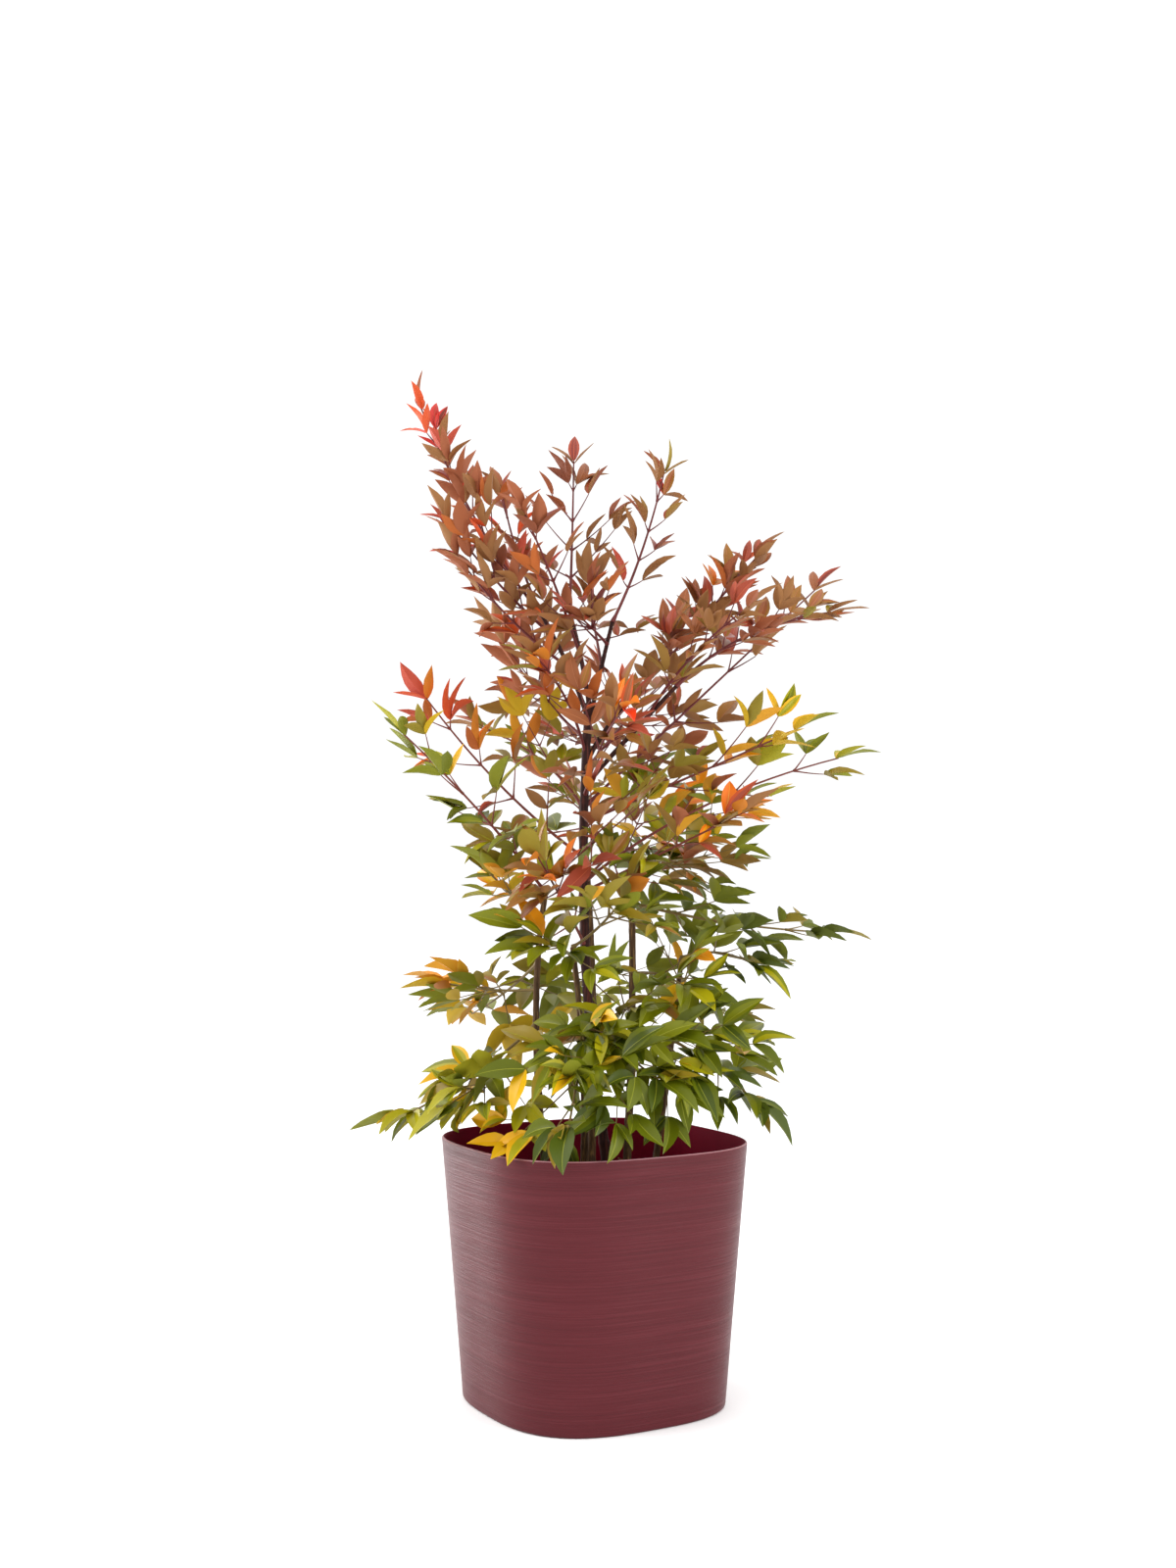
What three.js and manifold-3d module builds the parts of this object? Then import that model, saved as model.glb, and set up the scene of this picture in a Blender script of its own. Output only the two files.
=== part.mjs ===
// Heavenly bamboo (Nandina domestica) in a tapered, soft-cornered planter.
// Millimetres, +Z up. The origin is the middle of the planter's flat underside.
//
// Six upright canes stand in potting soil. The canes, and the boughs near the top of the tallest,
// carry the foliage. One compound leaf is one mass: a bent stem with opposite side twigs and pointed
// leaflets, fused together, all grown by one seeded rule and kept clear of their neighbours.

import * as THREE from 'three';
import { mergeVertices } from 'three/addons/utils/BufferGeometryUtils.js';
import Module from 'manifold-3d';

const wasm = await Module();
wasm.setup();

// ---- Driving dimensions -------------------------------------------------------------------

const POT = {
  height: 260,
  topWidth: 276, // across the flats at the rim
  baseWidth: 237,
  topCorner: 91, // plan radius of the corners
  baseCorner: 81,
  bulge: 2.2, // how far the middle of a side stands out
  wall: 3.5,
  floor: 5,
  footRound: 3,
  turn: 29.4, // degrees that the square plan is turned about Z
  sideSteps: 4,
  cornerSteps: 6,
};
const SOIL_TOP = 214;
const GAP = 0.3; // clear space between touching solids
const LEAF_GAP = 0.5; // least clear space round a leaf
const SMOOTHED = 0.05; // how far a fused mass's surface may be evened out
const GROWTH_SEED = 20;

const CANE_SIDES = 7;
const CANE_STEPS = 6;
const FLARE = { height: 0.06, share: 0.35 }; // a cane's foot widens by this share over this part of it
const BOUGH_SIDES = 6;
const BOUGH_STEPS = 3;
const STEM_STEPS = 4;
const STEM_RADIUS = [2.2, 1.4]; // half the width of a compound leaf's stem, at its foot and its end
const TWIG_RADIUS = 1;
const LEAST_TWIG = 12;

const LEAF = {
  length: [56, 80], // a top leaf and a bottom leaf
  levels: [900, 300], // the heights at which those lengths hold
  width: 0.38, // share of the length
  widest: 0.42, // where along the leaf it is widest
  root: 0.65, // half the width of its three-sided root
  droop: 0.12, // how steeply the bottom leaves hang
  fold: 0.07, // how far the edges rise above the midrib, as a share of the length
  sunk: 0.5, // how far from the middle of its twig the root starts
};

// How a compound leaf grows. Angles in degrees, as [lowest, highest] where two are given.
const SPRAY = {
  lastLeaf: 0.95, // share of the leaf length at that height
  lastPair: 0.8, // the two beside it, as a share of the last leaf
  lastPairBack: 6, // how far behind the last leaf they start
  bend: 0.45, // where along the chord the stem's control point lies
  bareFoot: [0.08, 30], // share of the stem, plus a length, that bears nothing
  mostBare: 0.4,
  nodesEnd: 0.9, // share of the stem at the last side pair
  topOpening: [48, 32], // between a top stem and its lowest and highest side twigs
  opening: [66, 42], // the same for a bottom stem
  openingPlay: 7,
  twist: 24, // each pair turns this far from the spray's plane, by turns to either side
  twistPlay: 10,
  lift: [-0.12, 0.22],
  topSpread: 0.5, // reach of the highest side twigs, as a share of the lowest
  spreadPlay: [0.9, 1.1],
  leafPlay: [0.84, 1],
  sideLeafAngle: [42, 56],
  sideLeafPlace: [0.62, 0.8], // where along a twig its side leaves start
  sideLeafSize: [0.8, 0.92],
  lastPairAngle: [38, 50],
};

// Which way a leaf's upper side looks: upwards, plus shares of the outward direction, of the
// spray's own normal, and of chance.
const FACING = { outward: 0.7, normal: 0.4, play: 0.35 };

// The ways a twig or leaf may be set: swing and dip in degrees, and a share of its full size.
const TRIES = [
  [0, 0, 1], [12, 0, 0.96], [-12, 0, 0.96], [0, 16, 0.94], [0, -16, 0.94],
  [22, 12, 0.84], [-22, -12, 0.84], [0, 32, 0.76], [0, -32, 0.76],
];

// Canes: foot [x, y] on the soil, control point and tip of the curve, radius at foot and tip.
const CANES = {
  main_cane: { foot: [18, 5], bend: [-22, 0, 430], tip: [-4, 0, 702], radius: [5.6, 4.2] },
  right_cane: { foot: [33, -10], bend: [44, -6, 400], tip: [38, -6, 545], radius: [4.2, 3.0] },
  left_cane: { foot: [-46, -10], bend: [-68, -8, 390], tip: [-48, -12, 508], radius: [3.8, 2.7] },
  back_cane: { foot: [-2, 50], bend: [6, 74, 420], tip: [-12, 66, 600], radius: [4.4, 3.0] },
  front_cane: { foot: [-10, -46], bend: [-4, -60, 330], tip: [-20, -64, 455], radius: [3.8, 2.6] },
  east_cane: { foot: [62, 30], bend: [80, 36, 330], tip: [92, 34, 440], radius: [3.6, 2.6] },
};

// Boughs: the cane that carries it, where along it, the control point and the tip, radius.
const BOUGHS = {
  left_bough: { on: 'main_cane', at: 0.97, bend: [-22, 0, 740], tip: [-52, -2, 792], radius: [2.6, 1.9] },
  middle_bough: { on: 'main_cane', at: 1, bend: [-10, 2, 745], tip: [-24, 12, 800], radius: [2.6, 1.9] },
  upper_right_bough: { on: 'main_cane', at: 0.94, bend: [6, -2, 730], tip: [20, -4, 785], radius: [2.5, 2] },
  right_bough: { on: 'main_cane', at: 0.885, bend: [16, 6, 688], tip: [72, 14, 742], radius: [2.7, 1.9] },
  low_right_bough: { on: 'main_cane', at: 0.84, bend: [22, -12, 652], tip: [84, -30, 716], radius: [2.6, 2] },
};

// Masses: name, what carries it, where along that (0 foot, 1 tip), the tip of its last leaf
// [x, y, z], bow (how far the stem arches up), roll of its plane in degrees, spread (reach of the
// lowest side twigs), pairs of side twigs or leaves, and the number that its chances start from.
const MASSES = [
  // the crown above the fork
  ['top_left_spray', 'left_bough', 1, [-194, 10, 1050], -12, 0, 58, 5, 28],
  ['left_red_spray', 'left_bough', 0.8, [-170, -47, 917], -8, 35, 52, 3, 45],
  ['left_low_red_spray', 'left_bough', 0.5, [-162, -36, 885], -11, 38, 44, 4, 1],
  ['upper_left_spray', 'left_bough', 0.9, [-104, 64, 975], -12, 1, 44, 4, 5],
  ['upper_middle_spray', 'middle_bough', 1, [-20, 101, 1014], -12, 0, 71, 4, 43],
  ['middle_spray', 'middle_bough', 0.5, [-83, -118, 911], 6, 9, 54, 3, 58],
  ['upper_right_spray', 'upper_right_bough', 1, [84, 55, 992], -9, 60, 44, 4, 57],
  ['inner_front_spray', 'upper_right_bough', 0.8, [-29, -85, 792], 2, 29, 70, 3, 68],
  ['inner_back_spray', 'upper_right_bough', 0.6, [-9, 88, 849], 1, 52, 80, 3, 84],
  ['right_high_spray', 'right_bough', 1, [198, 18, 887], 1, 14, 44, 4, 31],
  ['right_inner_spray', 'right_bough', 0.84, [97, -48, 800], -2, 75, 57, 3, 11],
  ['far_right_spray', 'main_cane', 0.8, [271, 103, 863], 0, 32, 81, 4, 49],
  ['right_tip_spray', 'low_right_bough', 1, [288, 14, 801], 22, 5, 44, 4, 41],
  ['right_front_spray', 'low_right_bough', 0.75, [183, -124, 805], 14, 22, 44, 4, 75],
  ['back_left_spray', 'main_cane', 0.93, [-124, 219, 824], -10, 61, 114, 3, 99],
  ['back_right_spray', 'main_cane', 0.87, [89, 191, 754], 4, 0, 114, 3, 62],
  ['front_left_spray', 'main_cane', 0.9, [-80, -128, 754], 22, 14, 50, 4, 16],
  ['front_right_spray', 'main_cane', 0.82, [41, -203, 686], 20, 90, 79, 4, 47],
  // the middle of the crown
  ['west_red_spray', 'main_cane', 0.7, [-198, -1, 745], -12, 88, 72, 4, 81],
  ['west_green_spray', 'left_cane', 1, [-221, -72, 696], 7, 2, 76, 4, 67],
  ['east_russet_spray', 'main_cane', 0.77, [250, -19, 693], -1, 6, 99, 4, 23],
  ['east_gold_spray', 'main_cane', 0.65, [304, 48, 659], 21, 0, 98, 4, 89],
  ['east_orange_spray', 'main_cane', 0.63, [179, -137, 603], 0, 0, 66, 4, 60],
  ['front_orange_spray', 'main_cane', 0.52, [-66, -178, 567], 3, 82, 64, 4, 58],
  ['front_russet_spray', 'main_cane', 0.72, [11, -180, 593], -12, 63, 95, 3, 86],
  ['back_west_spray', 'back_cane', 1, [-164, 143, 698], 20, 38, 91, 3, 16],
  ['back_spray', 'back_cane', 0.85, [-13, 224, 626], 20, 0, 107, 3, 3],
  ['back_east_spray', 'back_cane', 0.79, [82, 213, 606], 2, 79, 98, 3, 47],
  // the green skirt
  ['right_upper_green', 'right_cane', 0.96, [151, 74, 519], 9, 19, 100, 4, 34],
  ['right_long_green', 'right_cane', 0.84, [292, 36, 465], -8, 0, 72, 4, 56],
  ['right_front_green', 'right_cane', 0.61, [116, -120, 394], 13, 18, 70, 3, 82],
  ['east_green', 'east_cane', 1, [198, -42, 403], 21, 0, 66, 3, 55],
  ['east_low_green', 'east_cane', 0.62, [202, -43, 261], 7, 0, 67, 3, 6],
  ['east_back_green', 'east_cane', 0.74, [121, 137, 422], 17, 90, 87, 3, 85],
  ['left_upper_green', 'left_cane', 0.86, [-142, -15, 561], 2, 20, 66, 3, 20],
  ['left_orange_green', 'left_cane', 0.62, [-199, 47, 425], -7, 7, 66, 3, 59],
  ['left_low_green', 'left_cane', 0.5, [-244, -7, 261], -12, 18, 66, 3, 89],
  ['left_gold', 'left_cane', 0.36, [-178, -113, 275], 11, 20, 66, 4, 71],
  ['left_back_green', 'left_cane', 0.72, [-157, 176, 361], -7, 24, 84, 3, 52],
  ['back_low_green', 'back_cane', 0.59, [-4, 213, 349], 1, 0, 93, 3, 15],
  ['front_high_green', 'front_cane', 1, [58, -117, 560], -12, 40, 92, 3, 76],
  ['front_left_green', 'front_cane', 0.94, [-61, -154, 439], 18, 0, 68, 3, 12],
  ['front_green', 'front_cane', 0.77, [-5, -128, 315], 13, 50, 89, 3, 3],
  ['front_right_green', 'front_cane', 0.71, [99, -162, 307], 0, 39, 109, 3, 22],
  ['front_drooping_green', 'front_cane', 0.53, [-27, -211, 256], 15, 55, 94, 3, 20],
  ['right_low_green', 'right_cane', 0.43, [119, -126, 293], 21, 27, 113, 3, 46],
  ['centre_green', 'right_cane', 0.48, [17, -137, 370], 16, 49, 79, 3, 21],
];

// ---- Small helpers ------------------------------------------------------------------------

const UP = new THREE.Vector3(0, 0, 1);
const radians = THREE.MathUtils.degToRad;
const lerp = THREE.MathUtils.lerp;
const vector = (p) => new THREE.Vector3(...p);

// Park and Miller's generator, so that the same seed grows the same plant anywhere.
function seeded(seed) {
  let state = seed;
  const draw = () => {
    state = (state * 16807) % 2147483647;
    return state / 2147483647;
  };
  draw();
  return (low = 0, high = 1) => low + (high - low) * draw();
}

function solidFrom(geometry) {
  const bare = geometry.clone();
  bare.deleteAttribute('normal');
  bare.deleteAttribute('uv');
  const merged = mergeVertices(bare, 1e-4);
  return new wasm.Manifold(new wasm.Mesh({
    numProp: 3,
    vertProperties: merged.attributes.position.array,
    triVerts: new Uint32Array(merged.index.array),
  }));
}

function geometryFrom(solid) {
  const mesh = solid.getMesh();
  const geometry = new THREE.BufferGeometry();
  geometry.setAttribute('position', new THREE.BufferAttribute(mesh.vertProperties, 3));
  geometry.setIndex(new THREE.BufferAttribute(mesh.triVerts, 1));
  geometry.computeVertexNormals();
  return geometry;
}

// ---- The planter and its soil -------------------------------------------------------------

// A point of the soft-cornered square: k counts round the outline, inset is how far inside it lies.
function planPoint(k, halfWidth, corner, inset) {
  const perQuarter = POT.sideSteps + POT.cornerSteps;
  const quarter = Math.floor(k / perQuarter);
  const step = k % perQuarter;
  const flat = halfWidth - corner;
  const point = new THREE.Vector2();
  if (step < POT.sideSteps) {
    const u = (2 * step) / POT.sideSteps - 1;
    point.set(u * flat, -halfWidth - POT.bulge * (1 - u * u) + inset);
  } else {
    const angle = ((step - POT.sideSteps) / POT.cornerSteps - 1) * (Math.PI / 2);
    const radius = corner - inset;
    point.set(flat + radius * Math.cos(angle), -flat + radius * Math.sin(angle));
  }
  return point.rotateAround(new THREE.Vector2(), (quarter * Math.PI) / 2 + radians(POT.turn));
}

// A lathed profile of [inset, height] points, pushed out from a circle to the planter's plan.
// The profile runs from the axis at the top of the inside round to the axis underneath.
function planLathe(profile) {
  const around = 4 * (POT.sideSteps + POT.cornerSteps);
  const ends = [profile[0][1], profile.at(-1)[1]];
  const rows = [[null, ends[0]], ...profile, [null, ends[1]]];
  const unit = rows.map(([inset, z]) => new THREE.Vector2(inset === null ? 0 : 1, z));
  const spun = new THREE.LatheGeometry(unit, around);
  const place = spun.attributes.position;
  for (let i = 0; i <= around; i++) {
    rows.forEach(([inset, z], j) => {
      const share = z / POT.height;
      const half = lerp(POT.baseWidth, POT.topWidth, share) / 2;
      const corner = lerp(POT.baseCorner, POT.topCorner, share);
      const at = inset === null ? { x: 0, y: 0 } : planPoint(i % around, half, corner, inset);
      place.setXYZ(i * rows.length + j, at.x, at.y, z);
    });
  }
  return spun;
}

function potGeometry() {
  const { height, wall, floor, footRound } = POT;
  const lip = wall * 0.4;
  return planLathe([
    [footRound, 0],
    [0, footRound],
    [0, height - lip],
    [lip * 0.6, height],
    [wall - lip * 0.6, height],
    [wall, height - lip],
    [wall, floor],
  ]);
}

function soilGeometry() {
  const inset = POT.wall + GAP;
  return planLathe([
    [inset, POT.floor + GAP],
    [inset, SOIL_TOP],
  ]);
}

// ---- Limbs --------------------------------------------------------------------------------

// Two directions across a limb that runs along, with the first as near as may be to level.
function crossing(along, level) {
  const across = level.clone().addScaledVector(along, -level.dot(along)).normalize();
  return { across, over: new THREE.Vector3().crossVectors(across, along) };
}

// The level direction square to a chord.
function levelAcross(chord) {
  const level = new THREE.Vector3().crossVectors(chord, UP);
  return level.length() < 0.02 * chord.length() ? new THREE.Vector3(1, 0, 0) : level.normalize();
}

// A cylinder bent along a curve, with radius(t). Its flat ends lie square to the curve, or level
// at its foot where levelFoot is set.
function limbGeometry(curve, level, radius, sides, steps, levelFoot = false) {
  const tube = new THREE.CylinderGeometry(1, 1, 1, sides, steps);
  const place = tube.attributes.position;
  for (let i = 0; i < place.count; i++) {
    const t = place.getY(i) + 0.5;
    const along = levelFoot && t < 1e-6 ? UP : curve.getTangent(t).normalize();
    const { across, over } = crossing(along, level);
    const point = curve.getPoint(t)
      .addScaledVector(across, place.getX(i) * radius(t))
      .addScaledVector(over, place.getZ(i) * radius(t));
    place.setXYZ(i, point.x, point.y, point.z);
  }
  return tube;
}

const bezier = (a, b, c) => new THREE.QuadraticBezierCurve3(a, b, c);

function caneLimb(spec) {
  const curve = bezier(new THREE.Vector3(...spec.foot, SOIL_TOP + GAP), vector(spec.bend), vector(spec.tip));
  const radius = (t) => (
    lerp(...spec.radius, t) * (1 + FLARE.share * Math.max(0, 1 - t / FLARE.height)));
  const level = new THREE.Vector3(1, 0, 0);
  const solid = solidFrom(limbGeometry(curve, level, radius, CANE_SIDES, CANE_STEPS, true));
  return { curve, solid, radius };
}

function boughLimb(spec, host) {
  const curve = bezier(host.curve.getPoint(spec.at), vector(spec.bend), vector(spec.tip));
  const radius = (t) => lerp(...spec.radius, t);
  const level = levelAcross(vector(spec.tip).sub(curve.v0));
  const solid = solidFrom(limbGeometry(curve, level, radius, BOUGH_SIDES, BOUGH_STEPS));
  return { curve, solid: trimmed(solid, host, spec.at, curve), radius };
}

// A limb that starts inside its host is cut by a plane just clear of the host: above its end where
// the limb goes on from there, or else beside it.
function trimmed(solid, host, at, curve) {
  const hostWay = host.curve.getTangent(at).normalize();
  const away = curve.getPoint(0.1).sub(curve.v0).normalize();
  const normal = at === 1 ? hostWay : away.addScaledVector(hostWay, -away.dot(hostWay)).normalize();
  const offset = normal.dot(curve.v0) + (at === 1 ? 0 : host.radius(at)) + GAP;
  const gap = solid.trimByPlane(normal.toArray(), offset).minGap(host.solid, 10 * GAP);
  return solid.trimByPlane(normal.toArray(), offset + GAP - gap);
}

// ---- Masses of foliage --------------------------------------------------------------------

// 0 at the level of the top leaves and 1 at that of the bottom leaves.
function lowness(z) {
  const [high, low] = LEAF.levels;
  return THREE.MathUtils.clamp((high - z) / (high - low), 0, 1);
}

const leafLength = (z) => lerp(...LEAF.length, lowness(z));

// Points set out from one point, by how far they lie forward, sideways and upward.
function corner(point, { along, face }, x, y, z) {
  const side = new THREE.Vector3().crossVectors(face, along).normalize();
  return point.clone().addScaledVector(along, x).addScaledVector(side, y).addScaledVector(face, z);
}

// The left, right and end corners of a pointed leaf, folded up along its midrib.
function leafCorners(root, way, length) {
  const half = (length * LEAF.width) / 2;
  return [
    corner(root, way, length * LEAF.widest, -half, length * LEAF.fold),
    corner(root, way, length * LEAF.widest, half, length * LEAF.fold),
    corner(root, way, length, 0, 0),
  ];
}

// A leaf on its own: it starts as an upright edge and has a keel below.
function leafGeometry(root, way, length) {
  const corners = [
    corner(root, way, 0, 0, LEAF.root),
    corner(root, way, 0, 0, -LEAF.root),
    ...leafCorners(root, way, length),
  ];
  const faces = [0, 2, 4, 0, 4, 3, 1, 4, 2, 1, 3, 4, 0, 1, 2, 1, 0, 3];
  return new THREE.BufferGeometry().setFromPoints(corners).setIndex(faces);
}

// A three-sided limb through a row of rings, ending in a leaf. A ring has a point, the directions
// along and face, and a radius.
function leafyLimb(rings, way, length) {
  const corners = [];
  const faces = [0, 1, 2];
  for (const { point, along, face, radius: r } of rings) {
    for (const [y, z] of [[-r, 0.6 * r], [r, 0.6 * r], [0, -1.2 * r]]) {
      corners.push(corner(point, { along, face }, 0, y, z));
    }
  }
  for (let a = 0; a < 3 * (rings.length - 1); a += 3) {
    for (const [left, right] of [[0, 1], [1, 2], [2, 0]]) {
      faces.push(a + left, a + left + 3, a + right + 3, a + left, a + right + 3, a + right);
    }
  }
  corners.push(...leafCorners(rings.at(-1).point, way, length));
  const [a, b, keel, left, right, tip] = [6, 5, 4, 3, 2, 1].map((back) => corners.length - back);
  faces.push(a, tip, b, a, left, tip, b, tip, right);
  faces.push(a, keel, left, keel, tip, left, keel, right, tip, keel, b, right);
  return new THREE.BufferGeometry().setFromPoints(corners).setIndex(faces);
}

function leafFace(along, outward, normal, draw) {
  const face = UP.clone().addScaledVector(outward, FACING.outward).addScaledVector(normal, FACING.normal);
  face.x += draw(-FACING.play, FACING.play);
  face.y += draw(-FACING.play, FACING.play);
  return face.addScaledVector(along, -face.dot(along)).normalize();
}

function turned(direction, axis, degrees) {
  return direction.clone().applyAxisAngle(axis, radians(degrees)).normalize();
}

// The line of one mass's stem, and the directions at any point of it.
function growStem([name, on, at, tip, bow, roll], hosts) {
  const host = hosts[on];
  const foot = host.curve.getPoint(at);
  const end = vector(tip);
  const chord = end.clone().sub(foot);
  const rise = UP.clone().addScaledVector(chord, -UP.dot(chord) / chord.lengthSq()).normalize();
  const middle = foot.clone().lerp(end, SPRAY.bend).addScaledVector(rise, 2 * bow);
  const curve = bezier(foot, middle, end);
  const length = curve.getLength();
  const lastLeaf = leafLength(end.z) * SPRAY.lastLeaf;
  const outward = new THREE.Vector3(chord.x, chord.y, 0).normalize();
  const level = levelAcross(chord);
  const frame = (t, twist) => {
    const along = curve.getTangent(t).normalize();
    const { across, over } = crossing(along, level);
    return { along, side: turned(across, along, roll + twist), normal: turned(over, along, roll + twist) };
  };
  return { name, host, at, curve, length, stop: 1 - lastLeaf / length, lastLeaf, outward, level, frame };
}

// The two leaves beside the last one.
function growLastPair({ name, curve, length, stop, lastLeaf, outward, frame }, draw) {
  const { along, normal } = frame(stop, 0);
  const root = curve.getPoint(stop - SPRAY.lastPairBack / length);
  return [-1, 1].map((hand) => {
    const direction = turned(along, normal, hand * draw(...SPRAY.lastPairAngle));
    const face = leafFace(direction, outward, normal, draw);
    const size = lastLeaf * SPRAY.lastPair;
    return { group: `${name} tip`, root, along: direction, face, stalk: 0, length: size };
  });
}

// The side pair at share u of the way from the lowest (0) to the highest (1).
function growPair({ name, curve, length, stop, outward, frame }, u, turn, spread, draw) {
  const [share, more] = SPRAY.bareFoot;
  const bare = Math.min(SPRAY.mostBare, share + more / length);
  const t = lerp(bare, stop * SPRAY.nodesEnd, u);
  const { along, side, normal } = frame(t, turn * SPRAY.twist + draw(-SPRAY.twistPlay, SPRAY.twistPlay));
  const root = curve.getPoint(t);
  return [-1, 1].map((hand) => {
    const wide = lerp(lerp(...SPRAY.topOpening, u), lerp(...SPRAY.opening, u), lowness(root.z));
    const open = radians(wide + draw(-SPRAY.openingPlay, SPRAY.openingPlay));
    const direction = along.clone().multiplyScalar(Math.cos(open))
      .addScaledVector(side, hand * Math.sin(open))
      .addScaledVector(normal, draw(...SPRAY.lift))
      .addScaledVector(UP, -lowness(root.z) * LEAF.droop)
      .normalize();
    const size = leafLength(root.z) * draw(...SPRAY.leafPlay);
    const reach = spread * lerp(1, SPRAY.topSpread, u) * draw(...SPRAY.spreadPlay);
    const stalk = reach - size * (1 - LEAF.widest);
    const face = leafFace(direction, outward, normal, draw);
    const group = `${name} ${u} ${hand}`;
    return { group, root, along: direction, face, stalk: stalk < LEAST_TWIG ? 0 : stalk, length: size };
  });
}

// The plan of one mass: its stem and what sprouts from it, from the tip to the foot.
function growMass(row, hosts) {
  const [spread, pairs, number] = row.slice(-3);
  const draw = seeded(GROWTH_SEED + 101 * number);
  const stem = growStem(row, hosts);
  const sprouts = growLastPair(stem, draw);
  for (let i = pairs - 1; i >= 0; i--) {
    sprouts.push(...growPair(stem, i / (pairs - 1), i % 2 ? 1 : -1, spread, draw));
  }
  return { ...stem, sprouts, draw, solids: [] };
}

// Every solid placed so far, with its bounds and the group that may touch it.
class Space {
  items = [];

  add(solid, group) {
    this.items.push({ solid, group, box: solid.boundingBox() });
  }

  // Whether anything comes nearer to a solid than the gap, apart from the groups that it belongs to.
  isBlocked(solid, gap, groups) {
    const box = solid.boundingBox();
    return this.items.some((other) => !groups.includes(other.group)
      && [0, 1, 2].every((i) => box.min[i] - gap < other.box.max[i] && other.box.min[i] - gap < box.max[i])
      && solid.minGap(other.solid, 2 * gap) < gap);
  }
}

// The stem with the leaf at its end, cut clear of the limb that carries it.
function stemSolid({ curve, level, stop, lastLeaf, host, at }) {
  const rings = [];
  for (let i = 0; i <= STEM_STEPS; i++) {
    const share = i / STEM_STEPS;
    const along = curve.getTangent(share * stop).normalize();
    const { over } = crossing(along, level);
    const radius = lerp(...STEM_RADIUS, share);
    rings.push({ point: curve.getPoint(share * stop), along, face: over, radius });
  }
  const { point, face } = rings.at(-1);
  const along = curve.getPoint(1).sub(point).normalize();
  return trimmed(solidFrom(leafyLimb(rings, { along, face }, lastLeaf)), host, at, curve);
}

function sproutSolid({ root, along, face, stalk, length }) {
  const start = root.clone().addScaledVector(along, LEAF.sunk);
  if (!stalk) return solidFrom(leafGeometry(start, { along, face }, length));
  const end = start.clone().addScaledVector(along, stalk);
  const rings = [
    { point: start, along, face, radius: TWIG_RADIUS },
    { point: end, along, face, radius: LEAF.root },
  ];
  return solidFrom(leafyLimb(rings, { along, face }, length));
}

function largest(solid) {
  return solid.decompose().reduce((a, b) => (b.volume() > a.volume() ? b : a));
}

// The two leaves that a twig bears below the one at its end.
function sideLeaves({ group, root, along, face, stalk, length }, draw) {
  return [-1, 1].map((hand) => {
    const start = root.clone().addScaledVector(along, stalk * draw(...SPRAY.sideLeafPlace));
    const direction = turned(along, face, hand * draw(...SPRAY.sideLeafAngle));
    const size = length * draw(...SPRAY.sideLeafSize);
    return { group, root: start, along: direction, face, stalk: 0, length: size };
  });
}

// Sets one twig or leaf in the first way that keeps clear of all else, or leaves it out.
function setSprout(sprout, mass, space) {
  const across = new THREE.Vector3().crossVectors(sprout.face, sprout.along).normalize();
  for (const [swing, dip, scale] of TRIES) {
    const along = turned(turned(sprout.along, sprout.face, swing), across, dip);
    const face = sprout.face.clone().addScaledVector(along, -sprout.face.dot(along)).normalize();
    const tried = { ...sprout, along, face, stalk: sprout.stalk * scale, length: sprout.length * scale };
    const solid = sproutSolid(tried);
    if (space.isBlocked(solid, LEAF_GAP, [mass.name, sprout.group])) continue;
    space.add(solid, sprout.group);
    mass.solids.push(solid);
    if (sprout.stalk) mass.sprouts.unshift(...sideLeaves(tried, mass.draw));
    return;
  }
}

// ---- The whole plant ----------------------------------------------------------------------

const paint = (color, roughness) => new THREE.MeshStandardMaterial({ color, roughness, metalness: 0 });
const PAINT = {
  pot: paint(0x7a3640, 0.5),
  soil: paint(0x2e2018, 1),
  cane: paint(0x4a2e30, 0.7),
  bough: paint(0x5a2c34, 0.6),
  russet: paint(0x9a4a30, 0.5),
  amber: paint(0x9a6a2c, 0.5),
  green: paint(0x55702a, 0.5),
};
const TINT_LEVELS = { russet: 765, amber: 575 }; // a mass whose tip is higher than this has that colour

function growCanes(space) {
  const hosts = {};
  for (const [name, spec] of Object.entries(CANES)) hosts[name] = caneLimb(spec);
  for (const [name, spec] of Object.entries(BOUGHS)) hosts[name] = boughLimb(spec, hosts[spec.on]);
  for (const [name, { solid }] of Object.entries(hosts)) space.add(solid, name);
  return hosts;
}

// All stems come first. The masses then set one twig or leaf each by turns, so that they share
// the room evenly.
function growFoliage(hosts, space) {
  const masses = MASSES.map((row) => growMass(row, hosts));
  for (const mass of masses) {
    const stem = stemSolid(mass);
    mass.solids.push(stem);
    space.add(stem, mass.name);
  }
  while (masses.some((mass) => mass.sprouts.length)) {
    for (const mass of masses) {
      if (mass.sprouts.length) setSprout(mass.sprouts.shift(), mass, space);
    }
  }
  return masses;
}

function tint(z) {
  if (z > TINT_LEVELS.russet) return PAINT.russet;
  return z > TINT_LEVELS.amber ? PAINT.amber : PAINT.green;
}

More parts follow.
